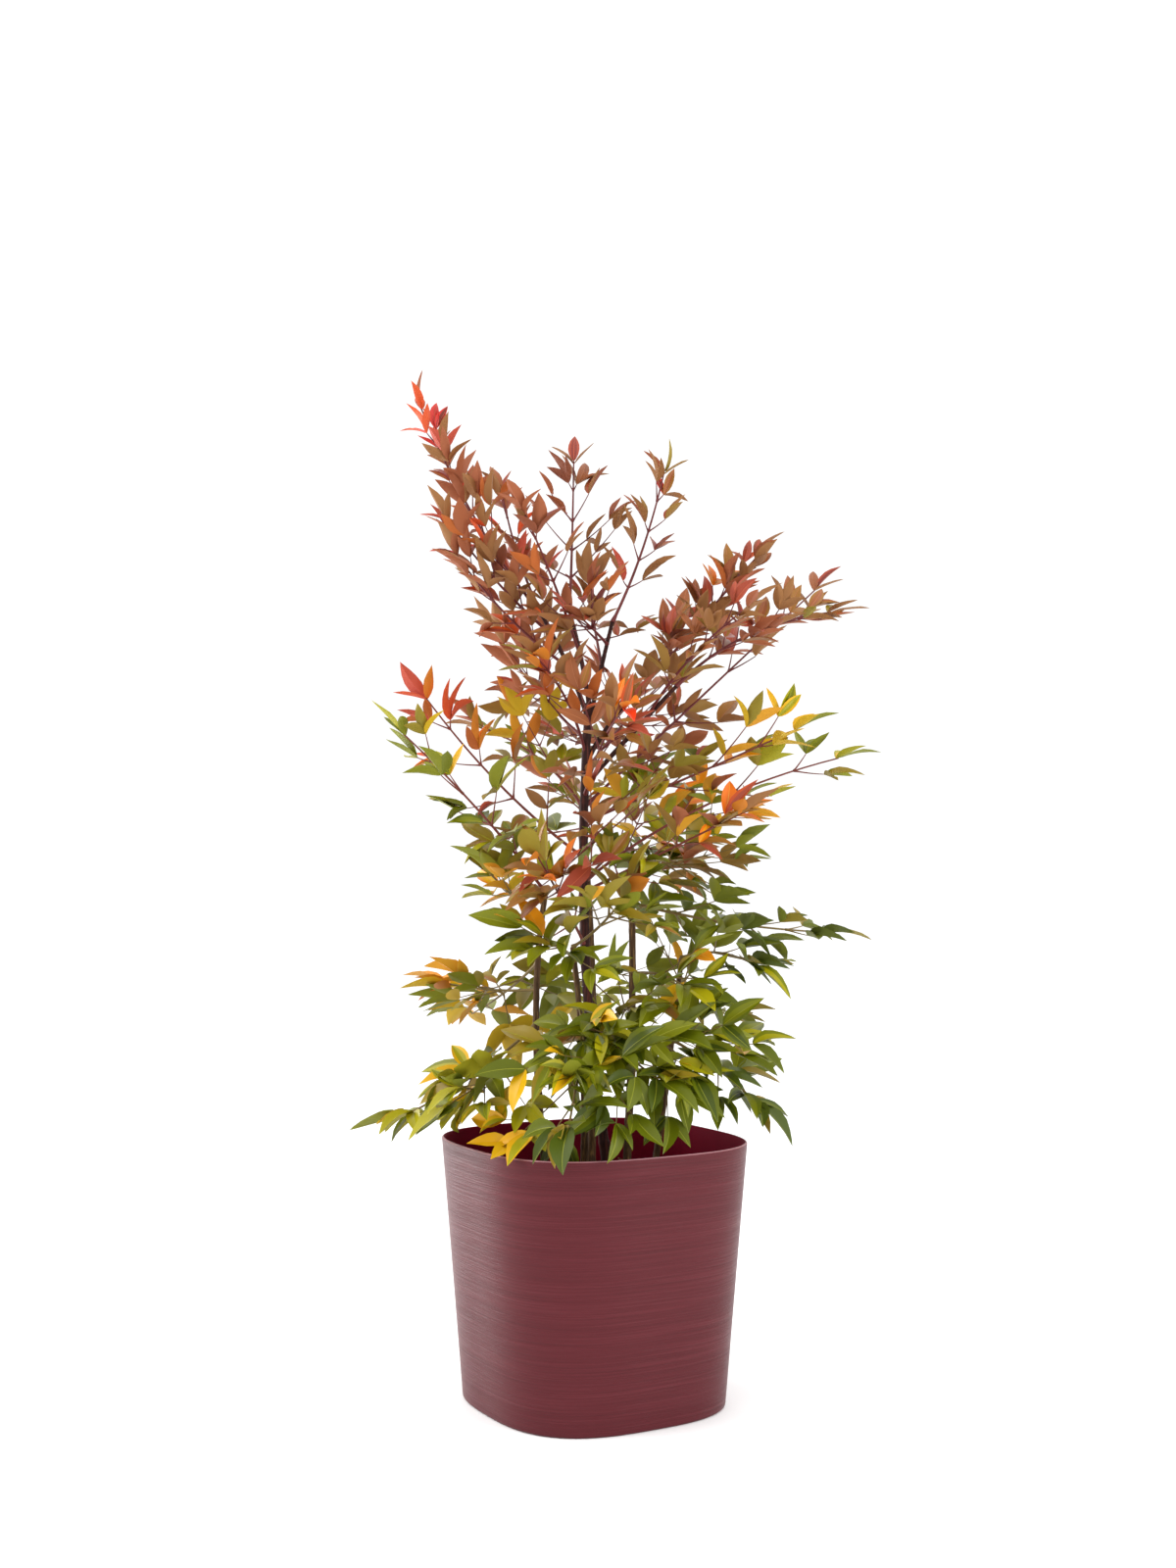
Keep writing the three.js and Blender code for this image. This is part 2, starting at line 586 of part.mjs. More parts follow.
function plant() {
  const group = new THREE.Group();
  const addMesh = (name, geometry, material) => {
    const mesh = new THREE.Mesh(geometry, material);
    mesh.name = name;
    group.add(mesh);
  };
  const space = new Space();
  const planter = { pot: potGeometry(), soil: soilGeometry() };
  for (const [name, geometry] of Object.entries(planter)) {
    addMesh(name, geometry, PAINT[name]);
    space.add(solidFrom(geometry), name);
  }
  const hosts = growCanes(space);
  for (const [name, { solid }] of Object.entries(hosts)) {
    addMesh(name, geometryFrom(solid), name in CANES ? PAINT.cane : PAINT.bough);
  }
  for (const { name, solids, curve } of growFoliage(hosts, space)) {
    const fused = largest(wasm.Manifold.union(solids).simplify(SMOOTHED));
    addMesh(name, geometryFrom(fused), tint(curve.v2.z));
  }
  return group;
}

export default plant();
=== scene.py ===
# Heavenly bamboo in a soft-cornered planter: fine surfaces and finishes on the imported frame.
#
# Everything is in metres, in the frame's own axes, but the plant is grown in millimetres. The canes,
# boughs and compound leaves follow the same curves and the same seeded rule as the solids, and the
# leaves are carried to finer twigs.

import math

import bpy
import numpy as np
from bpy.props import FloatProperty, FloatVectorProperty, IntProperty, PointerProperty
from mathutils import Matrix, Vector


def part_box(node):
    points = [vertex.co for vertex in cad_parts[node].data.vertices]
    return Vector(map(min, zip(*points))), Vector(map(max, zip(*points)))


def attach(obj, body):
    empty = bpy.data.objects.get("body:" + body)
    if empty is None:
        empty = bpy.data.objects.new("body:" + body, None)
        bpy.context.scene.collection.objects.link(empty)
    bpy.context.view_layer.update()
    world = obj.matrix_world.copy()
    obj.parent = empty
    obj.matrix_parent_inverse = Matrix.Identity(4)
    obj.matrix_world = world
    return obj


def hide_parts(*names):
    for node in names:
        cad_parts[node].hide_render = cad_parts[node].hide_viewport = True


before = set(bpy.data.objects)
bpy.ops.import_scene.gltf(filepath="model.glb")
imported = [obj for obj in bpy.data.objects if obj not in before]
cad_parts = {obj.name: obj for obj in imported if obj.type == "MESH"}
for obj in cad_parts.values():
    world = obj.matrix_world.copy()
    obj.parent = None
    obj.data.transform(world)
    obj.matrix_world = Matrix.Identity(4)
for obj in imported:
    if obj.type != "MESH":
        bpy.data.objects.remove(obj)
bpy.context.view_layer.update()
POT_BOX = [list(corner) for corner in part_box("pot")]

bl_info = {
    "name": "Heavenly bamboo in a planter",
    "version": (1, 0, 0),
    "blender": (4, 5, 0),
    "location": "3D View > Sidebar > Heavenly bamboo",
    "description": "Builds the planter, the soil, the canes and the compound leaves of a potted shrub",
    "category": "Add Mesh",
}

MM = 0.001
UP = np.array([0.0, 0.0, 1.0])


def rows(text):
    """The lines of a table as lists of words, whole numbers and numbers with a point."""

    def read(word):
        if not word.lstrip("-").replace(".", "", 1).isdigit():
            return word
        return float(word) if "." in word else int(word)

    return [[read(word) for word in line.split()] for line in text.strip().splitlines()]


# ---- Sizes shared with the solids, in millimetres ----

SOIL_TOP = 214
GAP = 0.3
GROWTH_SEED = 20
FLARE = {"height": 0.06, "share": 0.35}

# Canes: foot (x, y), control point, tip, radius at foot and tip.
CANES = {name: (rest[:2], rest[2:5], rest[5:8], rest[8:]) for name, *rest in rows("""
    main_cane 18 5 -22 0 430 -4 0 702 5.6 4.2
    right_cane 33 -10 44 -6 400 38 -6 545 4.2 3.0
    left_cane -46 -10 -68 -8 390 -48 -12 508 3.8 2.7
    back_cane -2 50 6 74 420 -12 66 600 4.4 3.0
    front_cane -10 -46 -4 -60 330 -20 -64 455 3.8 2.6
    east_cane 62 30 80 36 330 92 34 440 3.6 2.6
""")}

# Boughs, all on the main cane: where along it, control point, tip, radius at foot and tip.
BOUGHS = {name: (at, rest[:3], rest[3:6], rest[6:]) for name, at, *rest in rows("""
    left_bough 0.97 -22 0 740 -52 -2 792 2.6 1.9
    middle_bough 1 -10 2 745 -24 12 800 2.6 1.9
    upper_right_bough 0.94 6 -2 730 20 -4 785 2.5 2
    right_bough 0.885 16 6 688 72 14 742 2.7 1.9
    low_right_bough 0.84 22 -12 652 84 -30 716 2.6 2
""")}

# Compound leaves: name, carrier, where along it, x y z of the last leaflet's tip, bow, roll in
# degrees, reach of the lowest side twigs, pairs of side twigs, the families of tints near its foot
# and towards its tip, and the numbers that its chances start from: those that the solids share, and
# those of its finer growth.
SPRAYS = {
    "crown": rows("""
    top_left_spray left_bough 1 -194 10 1050 -12 0 58 5 flame flame 28 8709
    left_red_spray left_bough 0.8 -170 -47 917 -8 35 52 3 flame flame 45 3620
    left_low_red_spray left_bough 0.5 -162 -36 885 -11 38 44 4 rust flame 1 9216
    upper_left_spray left_bough 0.9 -104 64 975 -12 1 44 4 russet flame 5 6866
    upper_middle_spray middle_bough 1 -20 101 1014 -12 0 71 4 rust russet 43 1296
    middle_spray middle_bough 0.5 -83 -118 911 6 9 54 3 flame flame 58 9038
    upper_right_spray upper_right_bough 1 84 55 992 -9 60 44 4 russet bronze_tip 57 9650
    inner_front_spray upper_right_bough 0.8 -29 -85 792 2 29 70 3 rust flame 68 7762
    inner_back_spray upper_right_bough 0.6 -9 88 849 1 52 80 3 russet russet 84 5400
    right_high_spray right_bough 1 198 18 887 1 14 44 4 russet rust 31 9942
    right_inner_spray right_bough 0.84 97 -48 800 -2 75 57 3 flame russet 11 4177
    far_right_spray main_cane 0.8 271 103 863 0 32 81 4 bronze_tip russet 49 4163
    right_tip_spray low_right_bough 1 288 14 801 22 5 44 4 russet bronze_tip 41 9375
    right_front_spray low_right_bough 0.75 183 -124 805 14 22 44 4 bronze_tip russet 75 9910
    back_left_spray main_cane 0.93 -124 219 824 -10 61 114 3 russet russet 99 3063
    back_right_spray main_cane 0.87 89 191 754 4 0 114 3 bronze_tip bronze_tip 62 633
    front_left_spray main_cane 0.9 -80 -128 754 22 14 50 4 rust ember 16 7050
    front_right_spray main_cane 0.82 41 -203 686 20 90 79 4 bronze_tip rust 47 2048
    """),
    "middle": rows("""
    west_red_spray main_cane 0.7 -198 -1 745 -12 88 72 4 bronze scarlet 81 6350
    west_green_spray left_cane 1 -221 -72 696 7 2 76 4 leaf lime 67 5213
    east_russet_spray main_cane 0.77 250 -19 693 -1 6 99 4 bronze gold 23 2973
    east_gold_spray main_cane 0.65 304 48 659 21 0 98 4 gold lime 89 6294
    east_orange_spray main_cane 0.63 179 -137 603 0 0 66 4 leaf ember 60 6984
    front_orange_spray main_cane 0.52 -66 -178 567 3 82 64 4 leaf ember 58 6957
    front_russet_spray main_cane 0.72 11 -180 593 -12 63 95 3 ember ember 86 761
    back_west_spray back_cane 1 -164 143 698 20 38 91 3 leaf bronze 16 4805
    back_spray back_cane 0.85 -13 224 626 20 0 107 3 leaf bronze 3 4249
    back_east_spray back_cane 0.79 82 213 606 2 79 98 3 bronze bronze 47 2957
    """),
    "skirt": rows("""
    right_upper_green right_cane 0.96 151 74 519 9 19 100 4 green bronze 34 229
    right_long_green right_cane 0.84 292 36 465 -8 0 72 4 green deep 56 7273
    right_front_green right_cane 0.61 116 -120 394 13 18 70 3 green leaf 82 4514
    east_green east_cane 1 198 -42 403 21 0 66 3 leaf deep 55 6147
    east_low_green east_cane 0.62 202 -43 261 7 0 67 3 deep green 6 5620
    east_back_green east_cane 0.74 121 137 422 17 90 87 3 green leaf 85 9482
    left_upper_green left_cane 0.86 -142 -15 561 2 20 66 3 amber lime 20 4603
    left_orange_green left_cane 0.62 -199 47 425 -7 7 66 3 leaf amber 59 8065
    left_low_green left_cane 0.5 -244 -7 261 -12 18 66 3 green lime 89 1361
    left_gold left_cane 0.36 -178 -113 275 11 20 66 4 butter lime 71 2513
    left_back_green left_cane 0.72 -157 176 361 -7 24 84 3 leaf amber 52 5622
    back_low_green back_cane 0.59 -4 213 349 1 0 93 3 leaf lime 15 2615
    front_high_green front_cane 1 58 -117 560 -12 40 92 3 leaf bronze 76 8172
    front_left_green front_cane 0.94 -61 -154 439 18 0 68 3 leaf leaf 12 9421
    front_green front_cane 0.77 -5 -128 315 13 50 89 3 green leaf 3 361
    front_right_green front_cane 0.71 99 -162 307 0 39 109 3 butter deep 22 5600
    front_drooping_green front_cane 0.53 -27 -211 256 15 55 94 3 butter deep 20 2935
    right_low_green right_cane 0.43 119 -126 293 21 27 113 3 butter deep 46 4212
    centre_green right_cane 0.48 17 -137 370 16 49 79 3 green leaf 21 1399
    """),
}

# The growing rule of the solids. Angles in degrees, (lowest, highest) where there are two.
SOLID_LEAF = {"length": (56, 80), "levels": (900, 300), "widest": 0.42, "droop": 0.12}
RULE = {
    "last_leaf": 0.95, "last_pair": 0.8, "last_pair_back": 6, "last_pair_angle": (38, 50),
    "bend": 0.45, "bare_foot": (0.08, 30), "most_bare": 0.4, "nodes_end": 0.9,
    "top_opening": (48, 32), "opening": (66, 42), "opening_play": 7, "twist": 24, "twist_play": 10,
    "lift": (-0.12, 0.22), "top_spread": 0.5, "spread_play": (0.9, 1.1), "leaf_play": (0.84, 1),
}
# How far a leaf faces away from the middle of the plant and along its spray's normal, and the play.
FACING = {"outward": 0.7, "normal": 0.4, "play": 0.35}
LEAST_TWIG = 12

# ---- What is finer than in the solids ----

# The wall as the finer growth keeps clear of it: its turn in degrees, half width, power of its
# outline, room, and how often and how far a leaflet is lifted that would pass through it.
WALL = {"turn": 29.4, "half": 138.0, "power": 3, "clear": 6, "tries": 8, "lift": 0.25}

# Leaflets of life size, on twigs that branch once more. Sizes in millimetres or as shares, angles in
# degrees, (lowest, highest) for what chance settles.
FINE = {
    # these also grow twigs halfway between the solids' pairs
    "crowded": ("top_left_spray", "right_high_spray", "right_tip_spray"),
    "stem_end": 0.3,  # how far a stem runs into the room of the solids' last leaf
    "last_pair": (3, 0.9),  # from a stem's end back to its last pair, and their size
    # twigs: bare share at the foot, shortest, where the lowest pair may stand, and from one pair to
    # the next as a share of the leaflet
    "bare": 0.24, "least_span": 5.0, "lowest": 0.1, "spacing": 0.84,
    "last": (0.96, 1.04),  # share of a leaflet that a twig leaves for its last one, and its size
    "set_back": (0.5, 0.02),  # of the last pair in millimetres, and of the others as a share
    # a twig that reaches farther than the first number branches at its lowest nodes: the branches'
    # reach as a share of the twig's, less above the lowest pair, and the size of their leaflets
    "branching": 108, "branch_reach": 0.56, "branch_play": (0.9, 1.1), "upper_branch": 0.8,
    "branch_leaflet": 0.9,
    # side leaflets: angle from the twig, how far out of its plane they stand and face, and sizes
    "angle": (34, 52), "tilt": (-0.12, 0.12), "plane": 0.8, "facing_play": 0.75, "last_play": 0.6,
    "leaflet_play": (0.8, 1.2), "pair_size": (0.76, 1.0),
    # at the top of the plant and at its bottom: how far a twig bends up, how far its leaflets hang
    # down (below 0 they rise), and how much chance adds to that or takes away
    "rise": (0.12, 0.02), "droop": (-0.34, -0.14), "droop_play": (0.5, 0.42),
    "foot": 0.3,  # from the axis of a twig to the root of a leaflet, which is sunk in the twig
    "lead": 0.55,  # share of leaflets with their twig's own tint
    "turning": 0.32,  # share of leaflets whose middle has turned to another tint
}

# Stems, twigs and the branches of twigs: points along, sides, radii at foot and tip in millimetres,
# and the flare where each clasps what carries it: its size, and its length as a share.
TWIGS = (
    (18, 9, (1.7, 0.8), 0.7, 0.035),
    (7, 6, (0.95, 0.5), 0.6, 0.06),
    (5, 5, (0.6, 0.42), 0.6, 0.06),
)

# A leaflet's shell. Lengths are shares of the leaflet's, except where they are in metres.
LEAFLET = {
    "rows": (0.07, 0.2, 0.36, 0.54, 0.72, 0.88),
    "powers": (0.8, 1.15),
    "width_play": (0.84, 1.16), "curl_play": (0.2, 1.8), "fold_play": (0.6, 1.6), "sway": 0.06,
    "rib": (0.00036, 0.6),  # half width of the midrib in metres, and how much less it is at the tip
    "ripple": (0.09, 1.3),  # height as a share of the half width, and waves along the leaflet
    "middle": 0.55,  # where each half has a column between midrib and edge
    "cup": 0.9,
    "keel": (0.0005, 0.02),  # depth in metres, and what a share of the half width adds
    "seed": 41,
}

# Limbs: a row for each step in metres but at least so many, sides, half width of a scar's swelling
# in metres, the first scar in ring spacings, how far and how fast the others stray from an even
# spacing, and how deep furrows are. Their noise has so many waves round the limb, so many times more
# of them in Y and a shift, then waves a metre along it. The finer noise has more of both.
BARK = {
    "step": 0.003, "least_rows": 24, "sides": 28, "scar": 0.0022, "first_scar": 0.3, "uneven": (0.25, 5),
    "depth": 0.07, "round": (3.2, 1.7, 20), "along": (38, 160), "finer": 3,
}

# The planter's faces round, the rows of each stretch of its section and of the top of its lip that is
# painted paler as a highlight, the insets of its underside and of its inner floor, and the height of
# the lip's round as a share of its half width.
PLANTER_AROUND = 192
SECTION = {"foot": 7, "outside": 42, "lip": 9, "inside": 20}
LIP_HIGHLIGHT_ROWS = 3
UNDER_INSETS = 0.085, 0.04, 0.012
FLOOR_INSETS = 0.04, 0.085
LIP_FLATNESS = 0.9

# The soil's faces round and rings, the share of its innermost ring, how fast its relief sets in from
# the wall, the inset of a ring under it and the depth of one beside it, and its lumps: waves a metre,
# height and seed of each octave.
SOIL_AROUND, SOIL_RINGS = 144, 44
SOIL_MIDDLE, SOIL_FADE = 0.02, 30
SOIL_UNDER, SOIL_BESIDE = 0.06, 0.01
SOIL_LUMPS = ((110, 0.0034, 3), (260, 0.0018, 4), (560, 0.0009, 5))
CHIPS = {
    "seed": 11, "spread": 0.94, "lift": 0.0012, "half_length": (0.003, 0.009),
    "half_width": (0.002, 0.004), "thickness": (0.001, 0.0022), "corners": (20, 150, 200, 330),
    "corner_play": (0.75, 1.25), "top": 0.86, "tilt": 0.35,
}

# ---- Colours and lights ----

# Tints: name, sRGB values, the kind of its midrib, and the two tints that the middle of a turning
# leaflet may have.
TINTS = {name: (tuple(rest[:3]), *rest[3:]) for name, *rest in rows("""
    wine 128 50 38 red russet brown
    russet 158 68 44 red brown wine
    brown 146 84 46 brown copper russet
    copper 146 98 36 brown brown olive
    brick 188 76 24 red russet brown
    scarlet 228 62 26 red brick scarlet
    crimson 198 54 46 red russet wine
    orange 220 112 16 warm amber copper
    amber 224 144 14 warm orange gold
    gold 216 168 12 warm lime lime
    lime 160 152 10 green leaf gold
    olive 138 116 22 green leaf copper
    leaf 116 120 8 green green lime
    green 92 100 6 green deep leaf
    deep 68 80 12 green green deep
    honey 220 164 14 warm gold lime
""")}
# The share of each tint in a family.
FAMILIES = {name: dict(zip(rest[::2], rest[1::2])) for name, *rest in rows("""
    flame russet 28 brown 30 brick 12 scarlet 8 crimson 12 wine 10
    russet russet 28 brown 40 wine 10 brick 6 crimson 4 copper 12
    rust russet 26 brown 32 brick 14 orange 8 copper 14 scarlet 6
    bronze_tip brown 38 russet 22 copper 20 olive 12 crimson 8
    scarlet scarlet 44 brick 26 orange 16 crimson 14
    bronze olive 26 copper 24 brown 14 russet 8 leaf 14 green 6 orange 8
    ember orange 26 brick 16 russet 14 brown 14 copper 14 olive 10 amber 6
    gold gold 30 amber 24 lime 14 leaf 16 orange 8 olive 8
    amber amber 44 orange 18 gold 20 leaf 10 honey 8
    lime lime 26 leaf 40 green 12 gold 6 olive 16
    leaf leaf 36 green 24 lime 12 olive 22 amber 3 gold 3
    green green 40 leaf 24 deep 16 olive 14 gold 4 lime 2
    deep deep 40 green 34 leaf 12 olive 14
    butter gold 48 lime 26 leaf 10 green 8 honey 8
""")}
RIBS = {"red": (186, 92, 60), "brown": (170, 104, 62), "warm": (222, 164, 60), "green": (150, 152, 40)}
UNDERSIDE = {"pale": (138, 138, 88), "share": 0.28}  # how much of the pale tint an underside has
STEM_TINTS = {"crown": (98, 38, 36), "middle": (112, 52, 42), "skirt": (112, 92, 46)}
BARK_TINTS = {"dark_ridge": (92, 46, 38), "brown_furrow": (78, 56, 36)}
ORDER = list(TINTS)

# Lights: the place of each, the side of their squares, and the point that all of them face.
LIGHTS = {"key": (-2.2, -0.9, 2.1), "fill": (2.1, -1.3, 1.3), "rim": (-2.0, 1.15, 0.55)}
LIGHT_SIZE = 1.2
LIGHT_AIM = np.array([0, 0, 0.55])


# ---- Settings that a user would change ----


def linear(rgb):
    """sRGB numbers from 0 to 255 as linear light: ((c + 0.055) / 1.055) ^ 2.4 above the dark end."""
    c = np.asarray(rgb, float) / 255
    return tuple(np.where(c <= 0.04045, c / 12.92, ((c + 0.055) / 1.055) ** 2.4)) + (1.0,)


def colour(name, description, rgb):
    limits = {"size": 4, "min": 0, "max": 1, "default": linear(rgb)}
    return FloatVectorProperty(name=name, description=description, subtype="COLOR", **limits)


def number(name, description, default, **kind):
    return FloatProperty(name=name, description=description, default=default, **kind)


def length(name, description, default):
    return number(name, description, default, unit="LENGTH", precision=4)


def angle(name, description, degrees):
    return number(name, description, math.radians(degrees), subtype="ANGLE", unit="ROTATION")


def power(name, description, watts):
    return number(name, description, watts, unit="POWER")


class PlanterSettings(bpy.types.PropertyGroup):
    """Sizes and colours of the planter and its soil."""

    height: length("Height", "Height of the rim above the underside", POT_BOX[1][2])
    top_half: length("Rim half width", "From the middle to the middle of a side, at the rim", 0.1402)
    base_half: length("Base half width", "The same at the foot", 0.1207)
    wall: length("Wall", "Thickness of the wall", 0.0035)
    floor: length("Floor", "Thickness of the floor", 0.005)
    foot_round: length("Foot rounding", "Radius where the wall meets the underside", 0.003)
    top_exponent: number("Rim squareness", "Power of the rim's outline", 3.01)
    base_exponent: number("Base squareness", "Power of the foot's outline", 2.87)
    turn: angle("Turn", "Angle of the sides", WALL["turn"])
    wall_colour: colour("Wall", "Burgundy of the wall", (84, 25, 32))
    streak_colour: colour("Streaks", "Paler brushed streaks", (93, 33, 40))
    # painted highlight: the top of the lip is paler to stand for the light that catches the rim's edge
    lip_highlight_colour: colour("Lip", "Highlighted, paler edge of the lip", (166, 112, 118))
    inside_colour: colour("Inside", "Darker burgundy of the smooth inner wall", (104, 10, 32))
    soil_colour: colour("Soil", "Dark potting soil", (46, 34, 26))
    chip_colour: colour("Chips", "Bark chips on the soil", (98, 66, 46))
    chips: IntProperty(name="Chips", description="Bark chips strewn on the soil", default=420, min=0)


class PlantSettings(bpy.types.PropertyGroup):
    """Sizes and colours of the canes and leaves."""

    ridge: length("Ridge", "Depth of the bark's furrows", 0.00022)
    ring_spacing: length("Ring spacing", "From one old leaf scar to the next", 0.038)
    ring_swell: number("Ring swelling", "How much thicker a cane is at a scar", 0.1, subtype="FACTOR")
    dark_bark: colour("Dark bark", "Red-brown of the tallest cane", (50, 27, 25))
    light_bark: colour("Light bark", "Ridges of the lower canes", (126, 96, 58))
    top_leaflet: length("Top leaflet", "Leaflet at the top of the plant", 0.038)
    bottom_leaflet: length("Bottom leaflet", "Leaflet at the bottom of the plant", 0.047)
    top_width: number("Top width", "Share of a top leaflet's length", 0.29)
    bottom_width: number("Bottom width", "The same for the bottom", 0.40)
    leaf_fold: angle("Fold", "Rise of each half of a leaflet", 24)
    leaf_curl: angle("Curl", "Bend of a leaflet along its length", 20)
    leaf_roughness: number("Roughness", "Of the leaves", 0.36, subtype="FACTOR")


class StageSettings(bpy.types.PropertyGroup):
    """The floor, the light and the camera."""

    floor_size: length("Floor", "Side of the floor", 30.0)
    floor_colour: colour("Floor colour", "Pale floor", (252, 252, 252))
    behind: number("Light behind", "Strength of the white surroundings there", 1.06)
    before: number("Light in front", "The same on the camera's side", 0.94)
    above: number("Light above", "What straight above adds to that", 0.5)
    key_power: power("Key light", "Power of the soft light on the left", 31)
    fill_power: power("Fill light", "Power of the one on the right", 29)
    rim_power: power("Rim light", "Power of the one behind on the left", 30)
    camera_place: FloatVectorProperty(
        name="Camera", description="Where the camera stands", subtype="TRANSLATION", unit="LENGTH",
        default=(-0.00494, -1.820, 0.5236),
    )
    camera_pitch: angle("Camera pitch", "How far it looks up", 3.0)
    lens: number("Lens", "Focal length in millimetres", 40.84)


# ---- Numbers and curves ----


def seeded(seed):
    """Park and Miller's generator: the state times 16807, modulo 2147483647."""
    state = [seed]

    def draw(low=0.0, high=1.0):
        state[0] = state[0] * 16807 % 2147483647
        return low + (high - low) * state[0] / 2147483647

    draw()
    return draw


def lerp(a, b, t):
    return a + (b - a) * t


def unit(v):
    """Vectors divided by their own lengths, along the last axis."""
    return v / np.linalg.norm(v, axis=-1, keepdims=True)


def round_angles(count):
    """Count angles from 0, evenly round a full turn: 2 pi i / count."""
    return np.arange(count) * 2 * np.pi / count


def turned(v, axis, degrees):
    """Rodrigues' turn of v round axis: v cos q + (axis x v) sin q + axis (axis . v) (1 - cos q)."""
    cos, sin = math.cos(math.radians(degrees)), math.sin(math.radians(degrees))
    return unit(v * cos + np.cross(axis, v) * sin + axis * np.dot(axis, v) * (1 - cos))


def bezier(ends, t):
    """Quadratic curve: a (1 - t)^2 + 2 b t (1 - t) + c t^2."""
    a, b, c = (np.asarray(p, float) for p in ends)
    t = np.asarray(t, float)[..., None]
    return a * (1 - t) ** 2 + 2 * b * t * (1 - t) + c * t**2


def heading(ends, t):
    """Unit direction of that curve: (b - a) (1 - t) + (c - b) t, made of length 1."""
    a, b, c = (np.asarray(p, float) for p in ends)
    t = np.asarray(t, float)[..., None]
    return unit((b - a) * (1 - t) + (c - b) * t)


def arc_length(ends, steps):
    """Length of that curve, as the sum of so many chords."""
    points = bezier(ends, np.linspace(0, 1, steps + 1))
    return np.linalg.norm(np.diff(points, axis=0), axis=1).sum()


def level_across(chord):
    """The level direction square to a chord, or X for an upright one."""
    level = np.cross(chord, UP)
    size = np.linalg.norm(level)
    return np.array([1.0, 0, 0]) if size < 0.02 * np.linalg.norm(chord) else level / size


def lattice(x, y, seed):
    """Smooth noise from 0 to 1: random numbers at whole x and y, blended by 3 f^2 - 2 f^3 between."""
    size = 64
    table = np.random.default_rng(seed).random((size, size))
    fx, fy = np.floor(x), np.floor(y)
    i, j = fx.astype(int), fy.astype(int)
    u, v = x - fx, y - fy
    u, v = u * u * (3 - 2 * u), v * v * (3 - 2 * v)
    corners = [table[(i + a) % size, (j + b) % size] for a in (0, 1) for b in (0, 1)]
    return lerp(lerp(corners[0], corners[1], v), lerp(corners[2], corners[3], v), u)


# ---- Meshes ----


def make_piece(name, shape, finishes, replaces=(), sharp=40, slots=None):
    """One mesh object that rides on the frame's body, from its points, quads and triangles.

    slots holds a finish number for each face, and without it they all have the first finish.
    """
    mesh = bpy.data.meshes.new(name)
    points = np.ascontiguousarray(shape[0], np.float32).reshape(-1, 3)
    quads, triangles = (np.asarray(faces, np.int32) for faces in shape[1:])
    corners = np.concatenate([quads.ravel(), triangles.ravel()])
    starts = np.concatenate([np.arange(len(quads)) * 4, len(quads) * 4 + np.arange(len(triangles)) * 3])
    slots = np.zeros(len(starts)) if slots is None else slots
    mesh.vertices.add(len(points))
    mesh.vertices.foreach_set("co", points.ravel())
    mesh.loops.add(len(corners))
    mesh.loops.foreach_set("vertex_index", corners)
    mesh.polygons.add(len(starts))
    mesh.polygons.foreach_set("loop_start", starts.astype(np.int32))
    for finish in finishes:
        mesh.materials.append(finish)
    mesh.polygons.foreach_set("material_index", np.asarray(slots, np.int32))
    mesh.polygons.foreach_set("use_smooth", np.ones(len(starts), bool))
    mesh.update(calc_edges=True)
    mesh.validate()
    mesh.set_sharp_from_angle(angle=math.radians(sharp))
    piece = bpy.data.objects.new(name, mesh)
    bpy.context.scene.collection.objects.link(piece)
    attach(piece, "root")
    if replaces:
        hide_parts(*replaces)
    return piece


def ring_faces(rings, around):
    """Faces of a sleeve of rings of points, with one pole before the first and one after the last."""
    j, k = np.meshgrid(np.arange(rings - 1), np.arange(around), indexing="ij")
    a, b = j * around + k, j * around + (k + 1) % around
    quads = np.stack([a, b, b + around, a + around], -1).reshape(-1, 4)
    k = np.arange(around)
    after = (k + 1) % around
    top, first, last = (rings - 1) * around, rings * around, rings * around + 1
    triangles = np.concatenate([
        np.stack([np.full(around, first), after, k], -1),
        np.stack([top + k, top + after, np.full(around, last)], -1),
    ])
    return quads, triangles


def repeated(faces, count, step):
    """One shape's faces for each of count copies that lie step points apart."""
    return (faces + (np.arange(count) * step)[:, None, None]).reshape(-1, faces.shape[-1])


def tubes(lines, radii, level, sides):
    """Limbs round a batch of lines of the same number of points.

    A point p on a line gets a ring p + r (cos q across + sin q over). Across is the level direction
    made square to the line, and over is along x across. A point closes each end.
    """
    count, rings, _ = lines.shape
    along = unit(np.gradient(lines, axis=1))
    level = np.broadcast_to(np.asarray(level, float).reshape(-1, 1, 3), along.shape)
    across = unit(level - along * np.sum(level * along, -1, keepdims=True))
    over = np.cross(along, across)
    q = round_angles(sides)[:, None]
    radii = radii[..., None] if radii.ndim == 2 else radii
    points = lines[:, :, None] + radii[..., None] * (
        np.cos(q) * across[:, :, None] + np.sin(q) * over[:, :, None]
    )
    points = np.concatenate([points.reshape(count, -1, 3), lines[:, [0, -1]]], 1)
    quads, triangles = (repeated(f, count, rings * sides + 2) for f in ring_faces(rings, sides))
    return points.reshape(-1, 3), quads, triangles


def joined(shapes):
    """Several shapes as one."""
    shift, piles = 0, ([], [], [])
    for points, quads, triangles in shapes:
        for pile, item in zip(piles, (points, quads + shift, triangles + shift)):
            pile.append(item)
        shift += len(points)
    return [np.concatenate(pile) for pile in piles]


# ---- Finishes ----


def feed(tree, node, inputs):
    """Links each input of a node to what it is given where that is a socket, or else sets it."""
    for key, value in inputs.items():
        if isinstance(value, bpy.types.NodeSocket):
            tree.links.new(value, node.inputs[key])
        else:
            node.inputs[key].default_value = value


def add_node(tree, kind, inputs=None, **properties):
    """A new node's outputs."""
    node = tree.nodes.new("ShaderNode" + kind)
    for key, value in properties.items():
        setattr(node, key, value)
    feed(tree, node, inputs or {})
    return node.outputs


